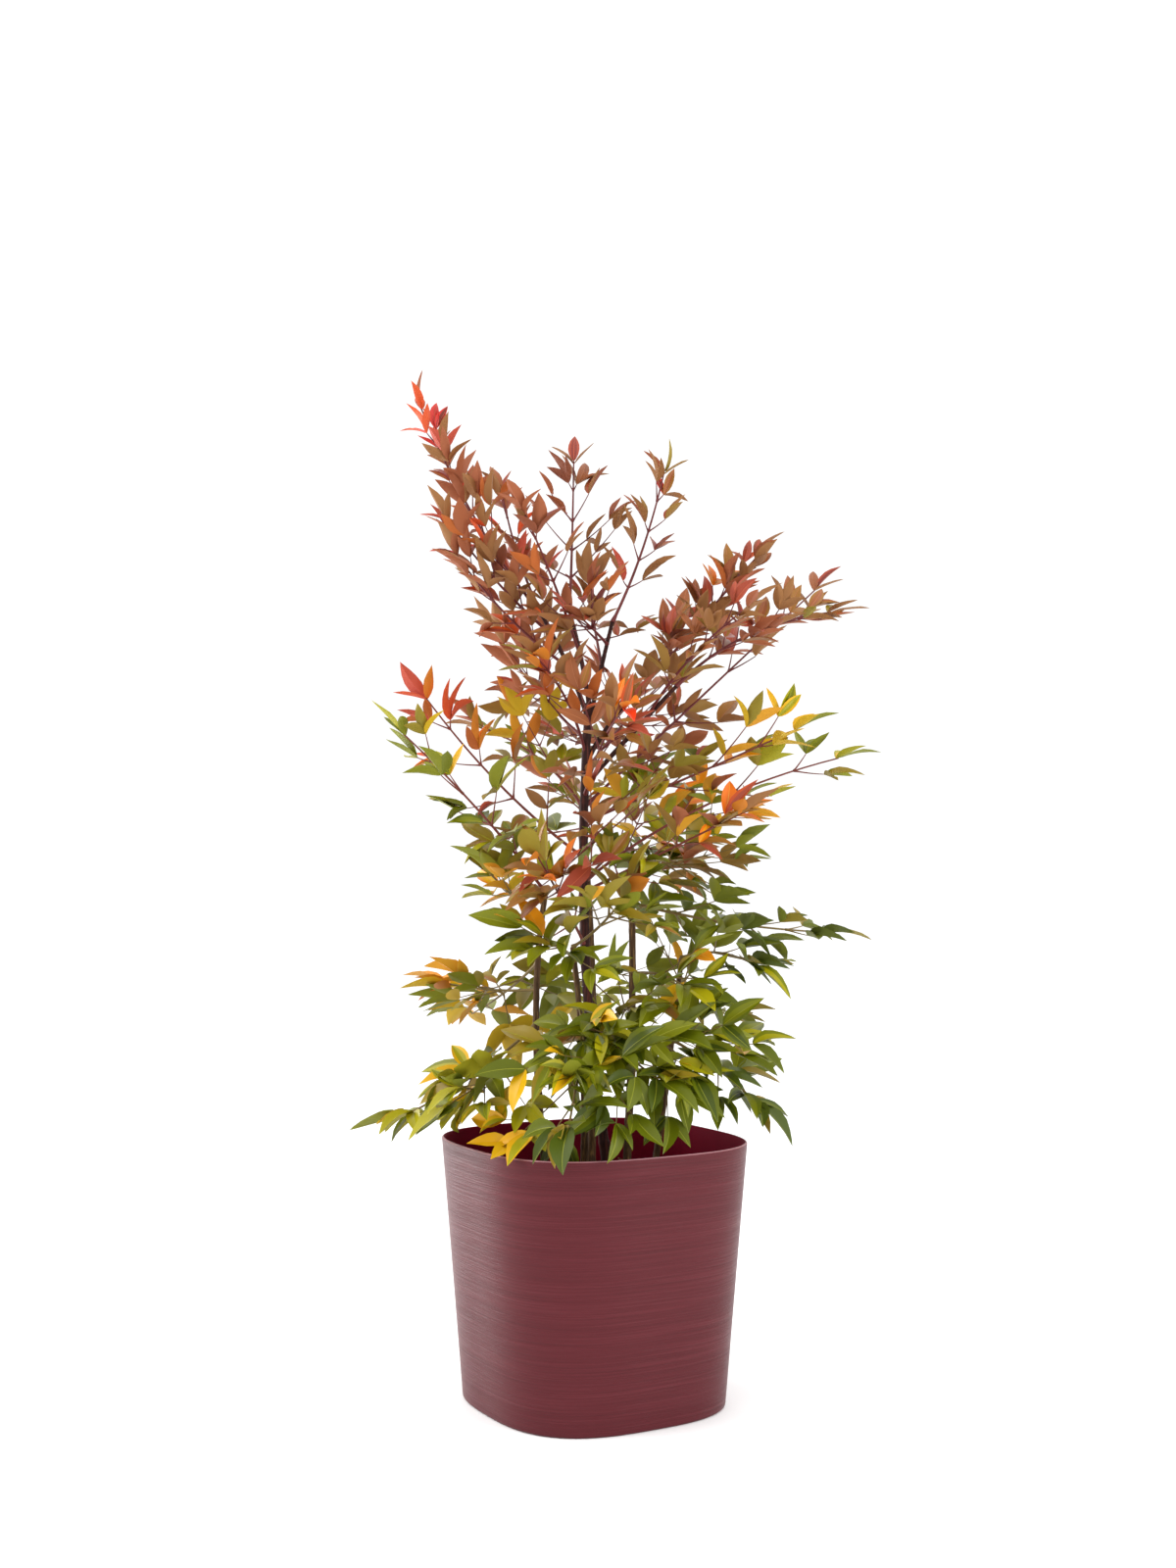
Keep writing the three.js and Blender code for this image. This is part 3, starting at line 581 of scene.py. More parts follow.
def new_finish(name, roughness, specular):
    """A Principled finish, its tree and its shader."""
    finish = bpy.data.materials.new(name)
    finish.use_nodes = True
    tree = finish.node_tree
    shader = tree.nodes["Principled BSDF"]
    feed(tree, shader, {"Roughness": roughness, "Specular IOR Level": specular})
    return finish, tree, shader


def toned(tone, share):
    """A colour with its red, green and blue times share, and no higher than 1."""
    return tuple(min(1, share * c) for c in tone[:3]) + (1.0,)


def ramp(tree, factor, *stops):
    """A ColorRamp over (place, colour) stops."""
    output = add_node(tree, "ValToRGB", {"Fac": factor})["Color"]
    elements = output.node.color_ramp.elements
    while len(elements) < len(stops):
        elements.new(0.5)
    for element, (place, tone) in zip(elements, stops):
        element.position = place
        element.color = tone
    return output


def stretched_noise(tree, scale, detail, roughness=0.6):
    """Noise over the object's own coordinates, each axis scaled by its own number, in waves a metre."""
    place = add_node(tree, "TexCoord")["Object"]
    vector = add_node(tree, "Mapping", {"Vector": place, "Scale": scale})["Vector"]
    waves = {"Vector": vector, "Scale": 1.0, "Detail": detail, "Roughness": roughness}
    return add_node(tree, "TexNoise", waves)["Fac"]


def bump(tree, height, distance, strength=1.0):
    relief = {"Height": height, "Distance": distance, "Strength": strength}
    return add_node(tree, "Bump", relief)["Normal"]


def brushed_plastic(settings):
    """Matte burgundy plastic with level streaks: fine and broad noise drawn out along the wall."""
    finish, tree, shader = new_finish("brushed_burgundy_plastic", 0.4, 0.19)
    fine = stretched_noise(tree, (7, 7, 620), 4)
    broad = stretched_noise(tree, (4, 4, 130), 3)
    broad = add_node(tree, "Math", {0: broad, 1: 0.3}, operation="MULTIPLY")["Value"]
    streaks = add_node(tree, "Math", {0: fine, 1: 0.7, 2: broad}, operation="MULTIPLY_ADD")["Value"]
    wall = settings.wall_colour
    stops = (0.36, toned(wall, 0.86)), (0.5, wall), (0.66, settings.streak_colour)
    rough = add_node(tree, "MapRange", {"Value": streaks, "To Min": 0.52, "To Max": 0.24})["Result"]
    normal = bump(tree, streaks, 0.0012, 0.8)
    feed(tree, shader, {"Base Color": ramp(tree, streaks, *stops), "Roughness": rough, "Normal": normal})
    return finish


def grained(name, surface, noise, stops, relief=None):
    """A finish of one noise: its tone over (place, colour) stops and, if given, its relief.

    surface is roughness and specular; noise is scale, detail and roughness; relief is distance and
    strength.
    """
    finish, tree, shader = new_finish(name, *surface)
    grain = stretched_noise(tree, *noise)
    feed(tree, shader, {"Base Color": ramp(tree, grain, *stops)})
    if relief:
        feed(tree, shader, {"Normal": bump(tree, grain, *relief)})
    return finish


def smooth_plastic(name, tone, *surface):
    """The smooth inner wall and the lip's painted highlight: faint clouds of tone."""
    stops = (0.3, toned(tone, 0.85)), (0.7, tone)
    return grained(name, surface, ((30, 30, 30), 3), stops)


def crumbs(name, tone, scale):
    """Soil or bark chips: coarse noise between a dark and a light tone."""
    stops = (0.32, toned(tone, 0.4)), (0.52, tone), (0.72, toned(tone, 1.7))
    return grained(name, (0.9, 0.25), ((scale,) * 3, 6, 0.7), stops, (0.0015,))


def bark(name, dark, light):
    """Cane bark: upright streaks of a dark and a lighter tone, drawn out along the cane."""
    stops = (0.3, toned(dark, 0.55)), (0.5, dark), (0.68, light)
    return grained(name, (0.62, 0.15), ((420, 420, 34), 5), stops, (0.0006, 0.6))


def leaf_finish(name, rgb, roughness, specular=0.24):
    """Satin leaf: one plain tint under a thin gloss."""
    finish, tree, shader = new_finish(name, roughness, specular)
    feed(tree, shader, {"Base Color": linear(rgb), "Coat Weight": 0.05, "Coat Roughness": 0.3})
    return finish


# ---- The planter and its soil ----


def plan(settings, height, inset, q, share=1.0):
    """X and Y of the wall's outline at a height and at angle q from its sides, drawn in to a share.

    A superellipse of power p: (half - inset) / (|cos|^p + |sin|^p)^(1/p). Half and p run straight
    from the foot to the rim.
    """
    up = height / settings.height
    half = lerp(settings.base_half, settings.top_half, up)
    p = lerp(settings.base_exponent, settings.top_exponent, up)
    reach = (half - inset) / (np.abs(np.cos(q)) ** p + np.abs(np.sin(q)) ** p) ** (1 / p) * share
    return reach * np.cos(q + settings.turn), reach * np.sin(q + settings.turn)


def lathe(settings, inset, height, around):
    """Rings of points: the profile of insets and heights swept round that outline."""
    inset, height = np.asarray(inset)[:, None], np.asarray(height)[:, None]
    x, y = plan(settings, height, inset, round_angles(around)[None])
    return np.stack([x, y, np.broadcast_to(height, x.shape)], -1)


def swept(rings, low, high):
    """The shape of rings of points, closed by a point on the axis at each end's height."""
    points = np.concatenate([rings.reshape(-1, 3), [[0, 0, low], [0, 0, high]]])
    return points, *ring_faces(*rings.shape[:2])


def arc(start, end, steps):
    """Angles from start to end, in degrees, as cosines and sines."""
    q = np.radians(np.linspace(start, end, steps))
    return np.cos(q), np.sin(q)


def planter_profile(settings):
    """The wall's section from the middle of the underside, up the outside and down the inside, as
    insets and heights, and the number of the lip's first row.

    The foot is a quarter round and the lip a half round that is a little flatter on top.
    """
    foot, wall, top, floor = settings.foot_round, settings.wall, settings.height, settings.floor
    under = [(inset, 0) for inset in UNDER_INSETS]
    cos, sin = arc(180, 90, SECTION["foot"])
    foot_line = list(zip(foot - foot * sin, foot + foot * cos))
    lip = wall / 2
    outside = [(0, z) for z in np.linspace(foot, top - lip, SECTION["outside"])[1:]]
    cos, sin = arc(180, 0, SECTION["lip"])
    lip_line = list(zip(lip + lip * cos, top - lip + lip * LIP_FLATNESS * sin))[1:]
    inside = [(wall, z) for z in np.linspace(top - lip, floor, SECTION["inside"])[1:]]
    bottom = [(wall + inset, floor) for inset in FLOOR_INSETS]
    outer = under + foot_line + outside
    return np.array(outer + lip_line + inside + bottom), len(outer) - 1


class PLANTER_OT_build(bpy.types.Operator):
    """Build the planter's wall, floor and lip"""

    bl_idname = "heavenly_bamboo.planter"
    bl_label = "Planter"

    def execute(self, context):
        settings = context.scene.planter
        profile, lip_row = planter_profile(settings)
        shape = swept(lathe(settings, *profile.T, PLANTER_AROUND), profile[0, 1], profile[-1, 1])
        row_of = shape[1][:, 0] // PLANTER_AROUND
        # the lip's first rows take the paler lip finish, a painted highlight along the rim's edge
        lip_highlight_band = lip_row + 1, lip_row + 1 + LIP_HIGHLIGHT_ROWS
        slots = np.searchsorted(lip_highlight_band, row_of, side="right")
        slots = np.concatenate([slots, np.repeat([0, 2], PLANTER_AROUND)])
        finishes = [
            brushed_plastic(settings),
            # the lip's finish: a paler burgundy painted on as a highlight
            smooth_plastic("worn_lip_plastic", settings.lip_highlight_colour, 0.4, 0.3),
            smooth_plastic("smooth_burgundy_plastic", settings.inside_colour, 0.7, 0.03),
        ]
        piece = make_piece("planter", shape, finishes, ("pot",), 60, slots)
        return {"FINISHED"}


class SOIL_OT_build(bpy.types.Operator):
    """Fill the planter with soil and strew bark chips on it"""

    bl_idname = "heavenly_bamboo.soil"
    bl_label = "Soil"

    def execute(self, context):
        settings = context.scene.planter
        top = SOIL_TOP * MM
        inset = settings.wall + GAP * MM
        share = np.linspace(1, SOIL_MIDDLE, SOIL_RINGS)[:, None]
        x, y = plan(settings, top, inset, round_angles(SOIL_AROUND), share)
        z = top + soil_relief(x, y) * np.minimum(1, (1 - share) * SOIL_FADE)
        floor = settings.floor + GAP * MM
        heights = floor, floor, top - SOIL_BESIDE
        sides = lathe(settings, (inset + SOIL_UNDER, inset, inset), heights, SOIL_AROUND)
        middle = float(top + soil_relief(np.zeros(1), np.zeros(1))[0])
        shape = swept(np.concatenate([sides, np.stack([x, y, z], -1)]), floor, middle)
        finish = crumbs("potting_soil", settings.soil_colour, 260)
        piece = make_piece("soil_fill", shape, [finish], ("soil",), 80)
        chips = make_chips(settings, top)
        return {"FINISHED"}


def soil_relief(x, y):
    """Height of the soil's lumps: three octaves of smooth noise, 9, 4 and 2 millimetres across."""
    return sum(size * (lattice(x * per + 30, y * per + 30, seed) - 0.5) for per, size, seed in SOIL_LUMPS)


def make_chips(settings, top):
    """Bark chips: eight-cornered flakes. Two rings of four corners, (cos, sin) times a half length
    and half width of their own, are set a thickness apart, tilted, and laid on the soil's relief."""
    rng = np.random.default_rng(CHIPS["seed"])
    count = settings.chips
    share, q = np.sqrt(rng.random(count)) * CHIPS["spread"], rng.random(count) * 2 * np.pi
    x, y = plan(settings, top, settings.wall, q, share)
    middle = np.stack([x, y, top + soil_relief(x, y) + CHIPS["lift"]], -1)
    half = np.stack([rng.uniform(*CHIPS[side], count) for side in ("half_length", "half_width")], -1)
    thick = rng.uniform(*CHIPS["thickness"], count)
    corner = np.radians(CHIPS["corners"])
    flat = np.stack([np.cos(corner), np.sin(corner)], -1) * half[:, None]
    flat = flat * rng.uniform(*CHIPS["corner_play"], (count, 4, 1))
    local = np.concatenate([
        np.concatenate([flat * shrink, np.broadcast_to(z[:, None, None], (count, 4, 1))], -1)
        for shrink, z in ((1, -thick / 2), (CHIPS["top"], thick / 2))
    ], 1)
    spin, tilt = rng.random(count) * 2 * np.pi, rng.uniform(-CHIPS["tilt"], CHIPS["tilt"], (2, count))
    across = np.stack([np.cos(spin), np.sin(spin), tilt[0]], -1)
    along = np.stack([-np.sin(spin), np.cos(spin), tilt[1]], -1)
    across, up = unit(across), unit(np.cross(across, along))
    axes = np.stack([across, np.cross(up, across), up], 1)
    points = middle[:, None] + sum(local[..., i : i + 1] * axes[:, None, i] for i in range(3))
    faces = [[3, 2, 1, 0], [4, 5, 6, 7], [0, 1, 5, 4], [1, 2, 6, 5], [2, 3, 7, 6], [3, 0, 4, 7]]
    shape = points, repeated(np.array(faces), count, 8), np.zeros((0, 3), int)
    finish = crumbs("bark_chips_brown", settings.chip_colour, 300)
    return make_piece("bark_chips", shape, [finish], sharp=30)


# ---- Canes and boughs ----


def limb_curves():
    """Each cane's and bough's curve and radii, in millimetres."""
    limbs = {}
    for name, (foot, bend, tip, radius) in CANES.items():
        limbs[name] = (((*foot, SOIL_TOP + GAP), bend, tip), radius)
    for name, (at, bend, tip, radius) in BOUGHS.items():
        limbs[name] = ((tuple(bezier(limbs["main_cane"][0], at)), bend, tip), radius)
    return limbs


def bark_limb(name, ends, radius, settings, flared):
    """A limb with relief. Its radius runs straight from foot to tip, and is multiplied by

    - a flare at the foot of a cane,
    - a ring at every old leaf scar: 1 + swell exp(-(d / w)^2), where d is the distance to the scar
      and w is BARK's half width of one,
    - and furrows, from noise drawn out along the limb. Finer noise is added to it.
    """
    span = arc_length(ends, 49) * MM
    count, sides = max(BARK["least_rows"], int(span / BARK["step"])), BARK["sides"]
    t = np.linspace(0, 1, count)
    q = round_angles(sides)
    seed = sum(ord(letter) for letter in name)
    scars = np.arange(BARK["first_scar"], span / settings.ring_spacing)
    most, pace = BARK["uneven"]
    scars = (scars + most * np.sin(scars * pace + seed)) * settings.ring_spacing
    near = np.abs(t[:, None] * span - scars[None]).min(1) if len(scars) else np.full(count, 1.0)
    swell = 1 + settings.ring_swell * np.exp(-((near / BARK["scar"]) ** 2))
    flare = 1 + (FLARE["share"] * np.maximum(0, 1 - t / FLARE["height"]) if flared else 0)
    waves, more, shift = BARK["round"]
    place = waves * np.cos(q)[None] + waves * np.sin(q)[None] * more + shift
    broad, close = ((t * span * per)[:, None] + 0 * q[None] for per in BARK["along"])
    furrow = lattice(place + seed % 7, broad, seed) - 0.5
    fine = lattice(place * BARK["finer"], close, seed + 1) - 0.5
    body = lerp(*radius, t) * MM * flare * swell
    radii = body[:, None] * (1 + BARK["depth"] * furrow) + settings.ridge * (2 * fine + furrow)
    level = (1, 0, 0) if flared else level_across(np.subtract(ends[2], ends[0]))
    return tubes(bezier(ends, t)[None] * MM, radii[None], level, sides)


class CANES_OT_build(bpy.types.Operator):
    """Build the canes and the boughs, with the relief of their bark"""

    bl_idname = "heavenly_bamboo.canes"
    bl_label = "Canes and boughs"

    def execute(self, context):
        settings = context.scene.plant
        dark = bark("dark_cane_bark", settings.dark_bark, linear(BARK_TINTS["dark_ridge"]))
        brown = bark("brown_cane_bark", linear(BARK_TINTS["brown_furrow"]), settings.light_bark)
        for name, (ends, radius) in limb_curves().items():
            shape = bark_limb(name, ends, radius, settings, name in CANES)
            finish = brown if name in CANES and name != "main_cane" else dark
            piece = make_piece(f"{name}_bark", shape, [finish], (name,), 70)
        return {"FINISHED"}


# ---- Compound leaves ----


def lowness(z, per_mm=1.0):
    """0 at the level of the top leaves and 1 at that of the bottom leaves, for z in a unit of which a
    millimetre has per_mm."""
    high, low = SOLID_LEAF["levels"]
    return np.clip((high * per_mm - z) / ((high - low) * per_mm), 0, 1)


def leaf_face(along, outward, normal, draw):
    """Where a leaf's upper side looks: up, plus shares of outward, of the spray's normal and of chance."""
    play = FACING["play"]
    face = UP + FACING["outward"] * outward + FACING["normal"] * normal
    face = face + np.array([draw(-play, play), draw(-play, play), 0])
    return unit(face - along * face.dot(along))


class Spray:
    """One compound leaf: the stem's curve and what grows on it, in millimetres."""

    def __init__(self, row, limbs):
        self.name, on, at, *tip, bow, self.roll, self.spread, self.pairs, near, far, own, fine = row
        self.families = near, far
        foot, end = bezier(limbs[on][0], at), np.array(tip, float)
        chord = end - foot
        rise = unit(UP - chord * UP.dot(chord) / chord.dot(chord))
        self.ends = (foot, lerp(foot, end, RULE["bend"]) + rise * 2 * bow, end)
        self.length = arc_length(self.ends, 200)
        self.last_leaf = lerp(*SOLID_LEAF["length"], lowness(end[2])) * RULE["last_leaf"]
        self.stop = 1 - self.last_leaf / self.length
        self.outward = unit(chord * [1, 1, 0])
        self.level = level_across(chord)
        shared = seeded(GROWTH_SEED + 101 * own)
        self.chance = np.random.default_rng(fine)
        self.sprouts = self.last_pair(shared)
        for i in reversed(range(self.pairs)):
            self.sprouts += self.pair(i, shared)
        if self.name in FINE["crowded"]:
            for i in range(self.pairs - 1):
                self.sprouts += self.pair(i + 0.5, self.chance.uniform)

    def frame(self, t, twist):
        """The stem's direction, its side direction and its normal, rolled and twisted about it."""
        along = heading(self.ends, t)
        across = unit(self.level - along * self.level.dot(along))
        over = np.cross(across, along)
        return along, turned(across, along, self.roll + twist), turned(over, along, self.roll + twist)

    def last_pair(self, draw):
        """The leaves beside the last one, as pair gives them, with node number -1."""
        along, _, normal = self.frame(self.stop, 0)
        root = bezier(self.ends, self.stop - RULE["last_pair_back"] / self.length)
        found = []
        for hand in (-1, 1):
            way = turned(along, normal, hand * draw(*RULE["last_pair_angle"]))
            face = leaf_face(way, self.outward, normal, draw)
            found.append((root, way, face, self.last_leaf * RULE["last_pair"], -1))
        return found

    def pair(self, i, draw):
        """The side pair at share u of the way up: (root, direction, face, reach, node number)."""
        u = i / (self.pairs - 1)
        share, more = RULE["bare_foot"]
        bare = min(RULE["most_bare"], share + more / self.length)
        t = lerp(bare, self.stop * RULE["nodes_end"], u)
        twist = RULE["twist"] if int(2 * i) % 4 else -RULE["twist"]
        twist = twist + draw(-RULE["twist_play"], RULE["twist_play"])
        along, side, normal = self.frame(t, twist)
        root = bezier(self.ends, t)
        low = lowness(root[2])
        found = []
        for hand in (-1, 1):
            wide = lerp(lerp(*RULE["top_opening"], u), lerp(*RULE["opening"], u), low)
            open_ = math.radians(wide + draw(-RULE["opening_play"], RULE["opening_play"]))
            way = along * math.cos(open_) + side * hand * math.sin(open_)
            way = way + normal * draw(*RULE["lift"])
            way = unit(way - UP * low * SOLID_LEAF["droop"])
            size = lerp(*SOLID_LEAF["length"], low) * draw(*RULE["leaf_play"])
            reach = self.spread * lerp(1, RULE["top_spread"], u) * draw(*RULE["spread_play"])
            stalk = reach - size * (1 - SOLID_LEAF["widest"])
            face = leaf_face(way, self.outward, normal, draw)
            found.append((root, way, face, size + (stalk if stalk >= LEAST_TWIG else 0), i))
        return found


def crosses_wall(start, end):
    """Whether a line, in millimetres, passes the planter's wall below or just above its rim.

    The wall is taken as the superellipse |x|^3 + |y|^3 = half^3, in axes turned with the sides.
    """
    turn, half, p, clear = math.radians(WALL["turn"]), WALL["half"], WALL["power"], WALL["clear"]
    points = lerp(start[None], end[None], np.linspace(0, 1, 9)[:, None])
    x = points[:, 0] * math.cos(turn) + points[:, 1] * math.sin(turn)
    y = points[:, 1] * math.cos(turn) - points[:, 0] * math.sin(turn)
    size = np.abs(x) ** p + np.abs(y) ** p
    inside = size < half**p
    low = points[:, 2] < POT_BOX[1][2] / MM + clear
    near = np.abs(size ** (1 / p) - half) < clear
    passes = inside[0] != inside[-1] and low[inside != inside[0]].any() and low[0]
    return bool((near & low).any() or passes)


def dealer(family, chance):
    """A function that deals the tint numbers of a leaflet's rim and of its middle.

    It draws a leading tint of the family at first, which many of its leaflets then wear.
    """
    numbers = [ORDER.index(name) for name in FAMILIES[family]]
    weights = np.array(list(FAMILIES[family].values()), float)
    weights /= weights.sum()
    lead = chance.choice(numbers, p=weights)

    def deal():
        rim = lead if chance.random() < FINE["lead"] else chance.choice(numbers, p=weights)
        turning = TINTS[ORDER[rim]][2:]
        heart = ORDER.index(turning[chance.integers(2)]) if chance.random() < FINE["turning"] else rim
        return rim, heart

    return deal


class Foliage:
    """The twigs and leaflets of one part of the plant, gathered as lists and then made as arrays."""

    def __init__(self, settings):
        self.leaflet = (settings.top_leaflet / MM, settings.bottom_leaflet / MM)
        self.curl = settings.leaf_curl
        self.leaves, self.limbs = [], ([], [], [])

    def leaf(self, root, way, face, size, tint):
        """Adds a leaflet, lifted until it clears the rim where it would pass through the wall."""
        for _ in range(WALL["tries"]):
            if not crosses_wall(root, root + way * size):
                break
            way = unit(way + UP * WALL["lift"])
        face = unit(face - way * face.dot(way))
        self.leaves.append((*root, *way, *face, size, *tint))

    def hang(self, way, low, play):
        """A leaflet's direction with its droop, which lowness and a play from -1 to 1 settle."""
        return unit(way - UP * (lerp(*FINE["droop"], low) + play * lerp(*FINE["droop_play"], low)))

    def twig(self, start, way, face, reach, spray, tint, level):
        """A twig with a last leaflet, pairs back along it, and branches at its lowest nodes."""
        draw, low = spray.chance.uniform, lowness(start[2])
        size = lerp(*self.leaflet, low) * draw(*FINE["leaflet_play"])
        room, last_size = FINE["last"]
        span = max(reach - size * room, FINE["least_span"])
        rise = UP * lerp(*FINE["rise"], low) * span
        ends = (start, start + way * span * 0.5, start + way * span + rise)
        self.limbs[level + 1].append((ends, 1.0))
        last = heading(ends, 1.0)
        play = draw(-1, 1, 3) * FINE["facing_play"] * FINE["last_play"]
        hung = self.hang(last, low, draw(-1, 1))
        self.leaf(ends[2] - last * FINE["foot"], hung, face + play, size * last_size, tint())
        step = FINE["spacing"] * size
        nodes = int(max(0, (span - FINE["bare"] * span) / step)) + 1
        for n in range(nodes):
            back = FINE["set_back"][1] if n else FINE["set_back"][0] / span
            t = max(1 - n * step / span - back, FINE["lowest"])
            point, along = bezier(ends, t), heading(ends, t)
            plane = unit(face - along * face.dot(along))
            branches = level == 0 and reach > FINE["branching"] and n >= max(1, nodes - 2)
            for hand in (-1, 1):
                side = turned(along, plane, hand * draw(*FINE["angle"]))
                side = unit(side + plane * draw(*FINE["tilt"]))
                if branches:
                    branch = reach * FINE["branch_reach"] * draw(*FINE["branch_play"])
                    branch = branch * (1 if n == nodes - 1 else FINE["upper_branch"])
                    self.twig(point, side, plane, branch, spray, tint, 1)
                else:
                    side = self.hang(side, low, draw(-1, 1))
                    play = draw(-1, 1, 3) * FINE["facing_play"]
                    face_to = UP + FACING["outward"] * spray.outward + plane * FINE["plane"] + play
                    small = size * draw(*FINE["pair_size"]) * (FINE["branch_leaflet"] if level else 1)
                    self.leaf(point + side * FINE["foot"], side, face_to, small, tint())

    def grow(self, spray):
        """The spray's stem with its last leaflet, and a twig or a leaflet for each of its sprouts."""
        stop = spray.stop + FINE["stem_end"] * (1 - spray.stop)
        self.limbs[0].append((spray.ends, stop))
        near, far = spray.families
        tint = dealer(far, spray.chance)
        _, _, normal = spray.frame(stop, 0)
        face = unit(UP + FACING["outward"] * spray.outward + FACING["normal"] * normal)
        tip = spray.ends[2]
        root = bezier(spray.ends, stop)
        way = unit(tip - root)
        lifted = way + unit(face - way * face.dot(way)) * math.tan(self.curl / 2)
        self.leaf(root, unit(lifted), face, np.linalg.norm(tip - root), tint())
        low, (back, size) = lowness(tip[2]), FINE["last_pair"]
        for root, way, own, reach, node in spray.sprouts:
            tint = dealer(near if 0 <= node < (spray.pairs - 1) / 2 else far, spray.chance)
            if node < 0:
                root = bezier(spray.ends, stop - back / spray.length)
                self.leaf(root, self.hang(way, low, 0), own, lerp(*self.leaflet, low) * size, tint())
            else:
                self.twig(root, way, own, reach, spray, tint, 0)


def leaf_arrays(leaves, settings, rng):
    """Leaflets as one batch of closed thin shells, and their faces' finish numbers.

    Along a leaflet, s runs from 0 at its root to 1 at its tip. Its half width is
    w (s / m)^0.8 ((1 - s) / (1 - m))^1.15, with its widest place at m. The midrib is an arc that
    bends down by the curl, x = sin(c s) / c and z = -(1 - cos(c s)) / c. Across a half, at share v of
    its width, the blade stands v^0.9 times the fold above the midrib, and its edge ripples by a small
    sine. A keel under the midrib closes the shell.
    """
    table = np.array(leaves, float)
    root, way, face, size = table[:, :3] * MM, table[:, 3:6], table[:, 6:9], table[:, 9:10] * MM
    rim, heart = table[:, 10].astype(int), table[:, 11].astype(int)
    count = len(table)
    side = np.cross(face, way)
    s = np.array(LEAFLET["rows"])
    a, b = LEAFLET["powers"]
    m = a / (a + b)
    shape = (s / m) ** a * ((1 - s) / (1 - m)) ** b
    low = lowness(root[:, 2], MM)
    width = lerp(settings.top_width, settings.bottom_width, low)
    width = width * rng.uniform(*LEAFLET["width_play"], count)
    half = 0.5 * (size * width[:, None]) * shape
    curl = settings.leaf_curl * rng.uniform(*LEAFLET["curl_play"], count)[:, None]
    fold = np.tan(settings.leaf_fold * rng.uniform(*LEAFLET["fold_play"], count))[:, None]
    wave = rng.uniform(0, 2 * np.pi, (2, count, 1))
    sway = rng.uniform(-LEAFLET["sway"], LEAFLET["sway"], count)[:, None] * size * s * (1 - s) * 4
    bend = curl * s
    forward, drop = size * np.sin(bend) / curl, size * (1 - np.cos(bend)) / curl
    rib_width, taper = LEAFLET["rib"]
    rib = rib_width * (1 - taper * s) + 0 * half
    height, waves = LEAFLET["ripple"]
    ripple = height * half * np.sin(2 * np.pi * waves * s + wave)
    middle = LEAFLET["middle"]
    rise = middle ** LEAFLET["cup"] * fold * half
    depth, more = LEAFLET["keel"]
    columns = [
        (-half, half * fold + ripple[0]),
        (-middle * half, rise + middle * ripple[0]),
        (-rib, rib * fold),
        (rib, rib * fold),
        (middle * half, rise + middle * ripple[1]),
        (half, half * fold + ripple[1]),
        (0 * half, -depth - more * half),
    ]
    y, lift = (np.stack(numbers, -1) for numbers in zip(*columns))
    y = y + sway[..., None]
    x = forward[..., None] + lift * np.sin(bend)[..., None]
    z = -drop[..., None] + lift * np.cos(bend)[..., None]
    points = root[:, None, None]
    for share, axis in ((x, way), (y, side), (z, face)):
        points = points + share[..., None] * axis[:, None, None]
    tip = root + size * (np.sin(curl) / curl * way - (1 - np.cos(curl)) / curl * face)
    points = np.concatenate([points.reshape(count, -1, 3), root[:, None], tip[:, None]], 1)
    around = len(columns)
    quads, fans = ring_faces(len(s), around)
    quads, fans = quads[:, [0, 3, 2, 1]], fans[:, [0, 2, 1]]
    # The two lower faces start one corner on, so that every face of a half is cut along the same
    # diagonal and the blade's top and underside never cross.
    lower = np.arange(len(quads)) % around >= around - 2
    quads[lower] = np.roll(quads[lower], -1, axis=1)
    step = len(s) * around + 2
    edge, inner, midrib, under = range(4)
    parts = np.array([edge, inner, midrib, inner, edge, under, under])
    ribs = np.array([list(RIBS).index(tint[1]) for tint in TINTS.values()])
    finish_of = np.stack([rim, heart, len(TINTS) + ribs[heart], len(TINTS) + len(RIBS) + rim], -1)
    slots = [finish_of[:, np.tile(parts, strips)].ravel() for strips in (len(s) - 1, 2)]
    faces = repeated(quads, count, step), repeated(fans, count, step)
    return (points.reshape(-1, 3), *faces), np.concatenate(slots)


def stem_shape(foliage):
    """The stems, the twigs and their branches of one part of the plant, as one shape of tubes.

    A radius runs straight from foot to tip, times 1 + flare exp(-(t / reach of the flare)^2).
    """
    shapes = []
    for limbs, (count, sides, radii, flare, reach) in zip(foliage.limbs, TWIGS):
        if limbs:
            t = np.linspace(0, 1, count)
            lines = np.array([bezier(ends, t * stop) for ends, stop in limbs]) * MM
            radius = lerp(*radii, t) * (1 + flare * np.exp(-((t / reach) ** 2))) * MM
            level = np.array([level_across(ends[2] - ends[0]) for ends, _ in limbs])
            shapes.append(tubes(lines, np.broadcast_to(radius, lines.shape[:2]), level, sides))
    return joined(shapes)


class LEAVES_OT_build(bpy.types.Operator):
    """Grow the compound leaves on the canes and boughs: their stems, twigs and leaflets"""

    bl_idname = "heavenly_bamboo.leaves"
    bl_label = "Compound leaves"

    def execute(self, context):
        settings = context.scene.plant
        limbs = limb_curves()
        rough = settings.leaf_roughness
        finishes = [leaf_finish(f"{n}_leaf", rgb, rough) for n, (rgb, *_) in TINTS.items()]
        finishes += [leaf_finish(f"{n}_midrib", rgb, rough) for n, rgb in RIBS.items()]
        for n, (rgb, *_) in TINTS.items():
            pale = lerp(np.array(rgb), np.array(UNDERSIDE["pale"]), UNDERSIDE["share"])
            finishes.append(leaf_finish(f"{n}_underside", pale, 0.6, 0.2))
        for seed, (part, sprays) in enumerate(SPRAYS.items(), LEAFLET["seed"]):
            foliage = Foliage(settings)
            for row in sprays:
                foliage.grow(Spray(row, limbs))
            names = [row[0] for row in sprays]
            shape, slots = leaf_arrays(foliage.leaves, settings, np.random.default_rng(seed))
            piece = make_piece(f"{part}_leaflets", shape, finishes, names, 75, slots)
            finish = leaf_finish(f"{part}_stem", STEM_TINTS[part], 0.5)
            piece = make_piece(f"{part}_stems", stem_shape(foliage), [finish], names, 60)
        return {"FINISHED"}


# ---- Stage ----


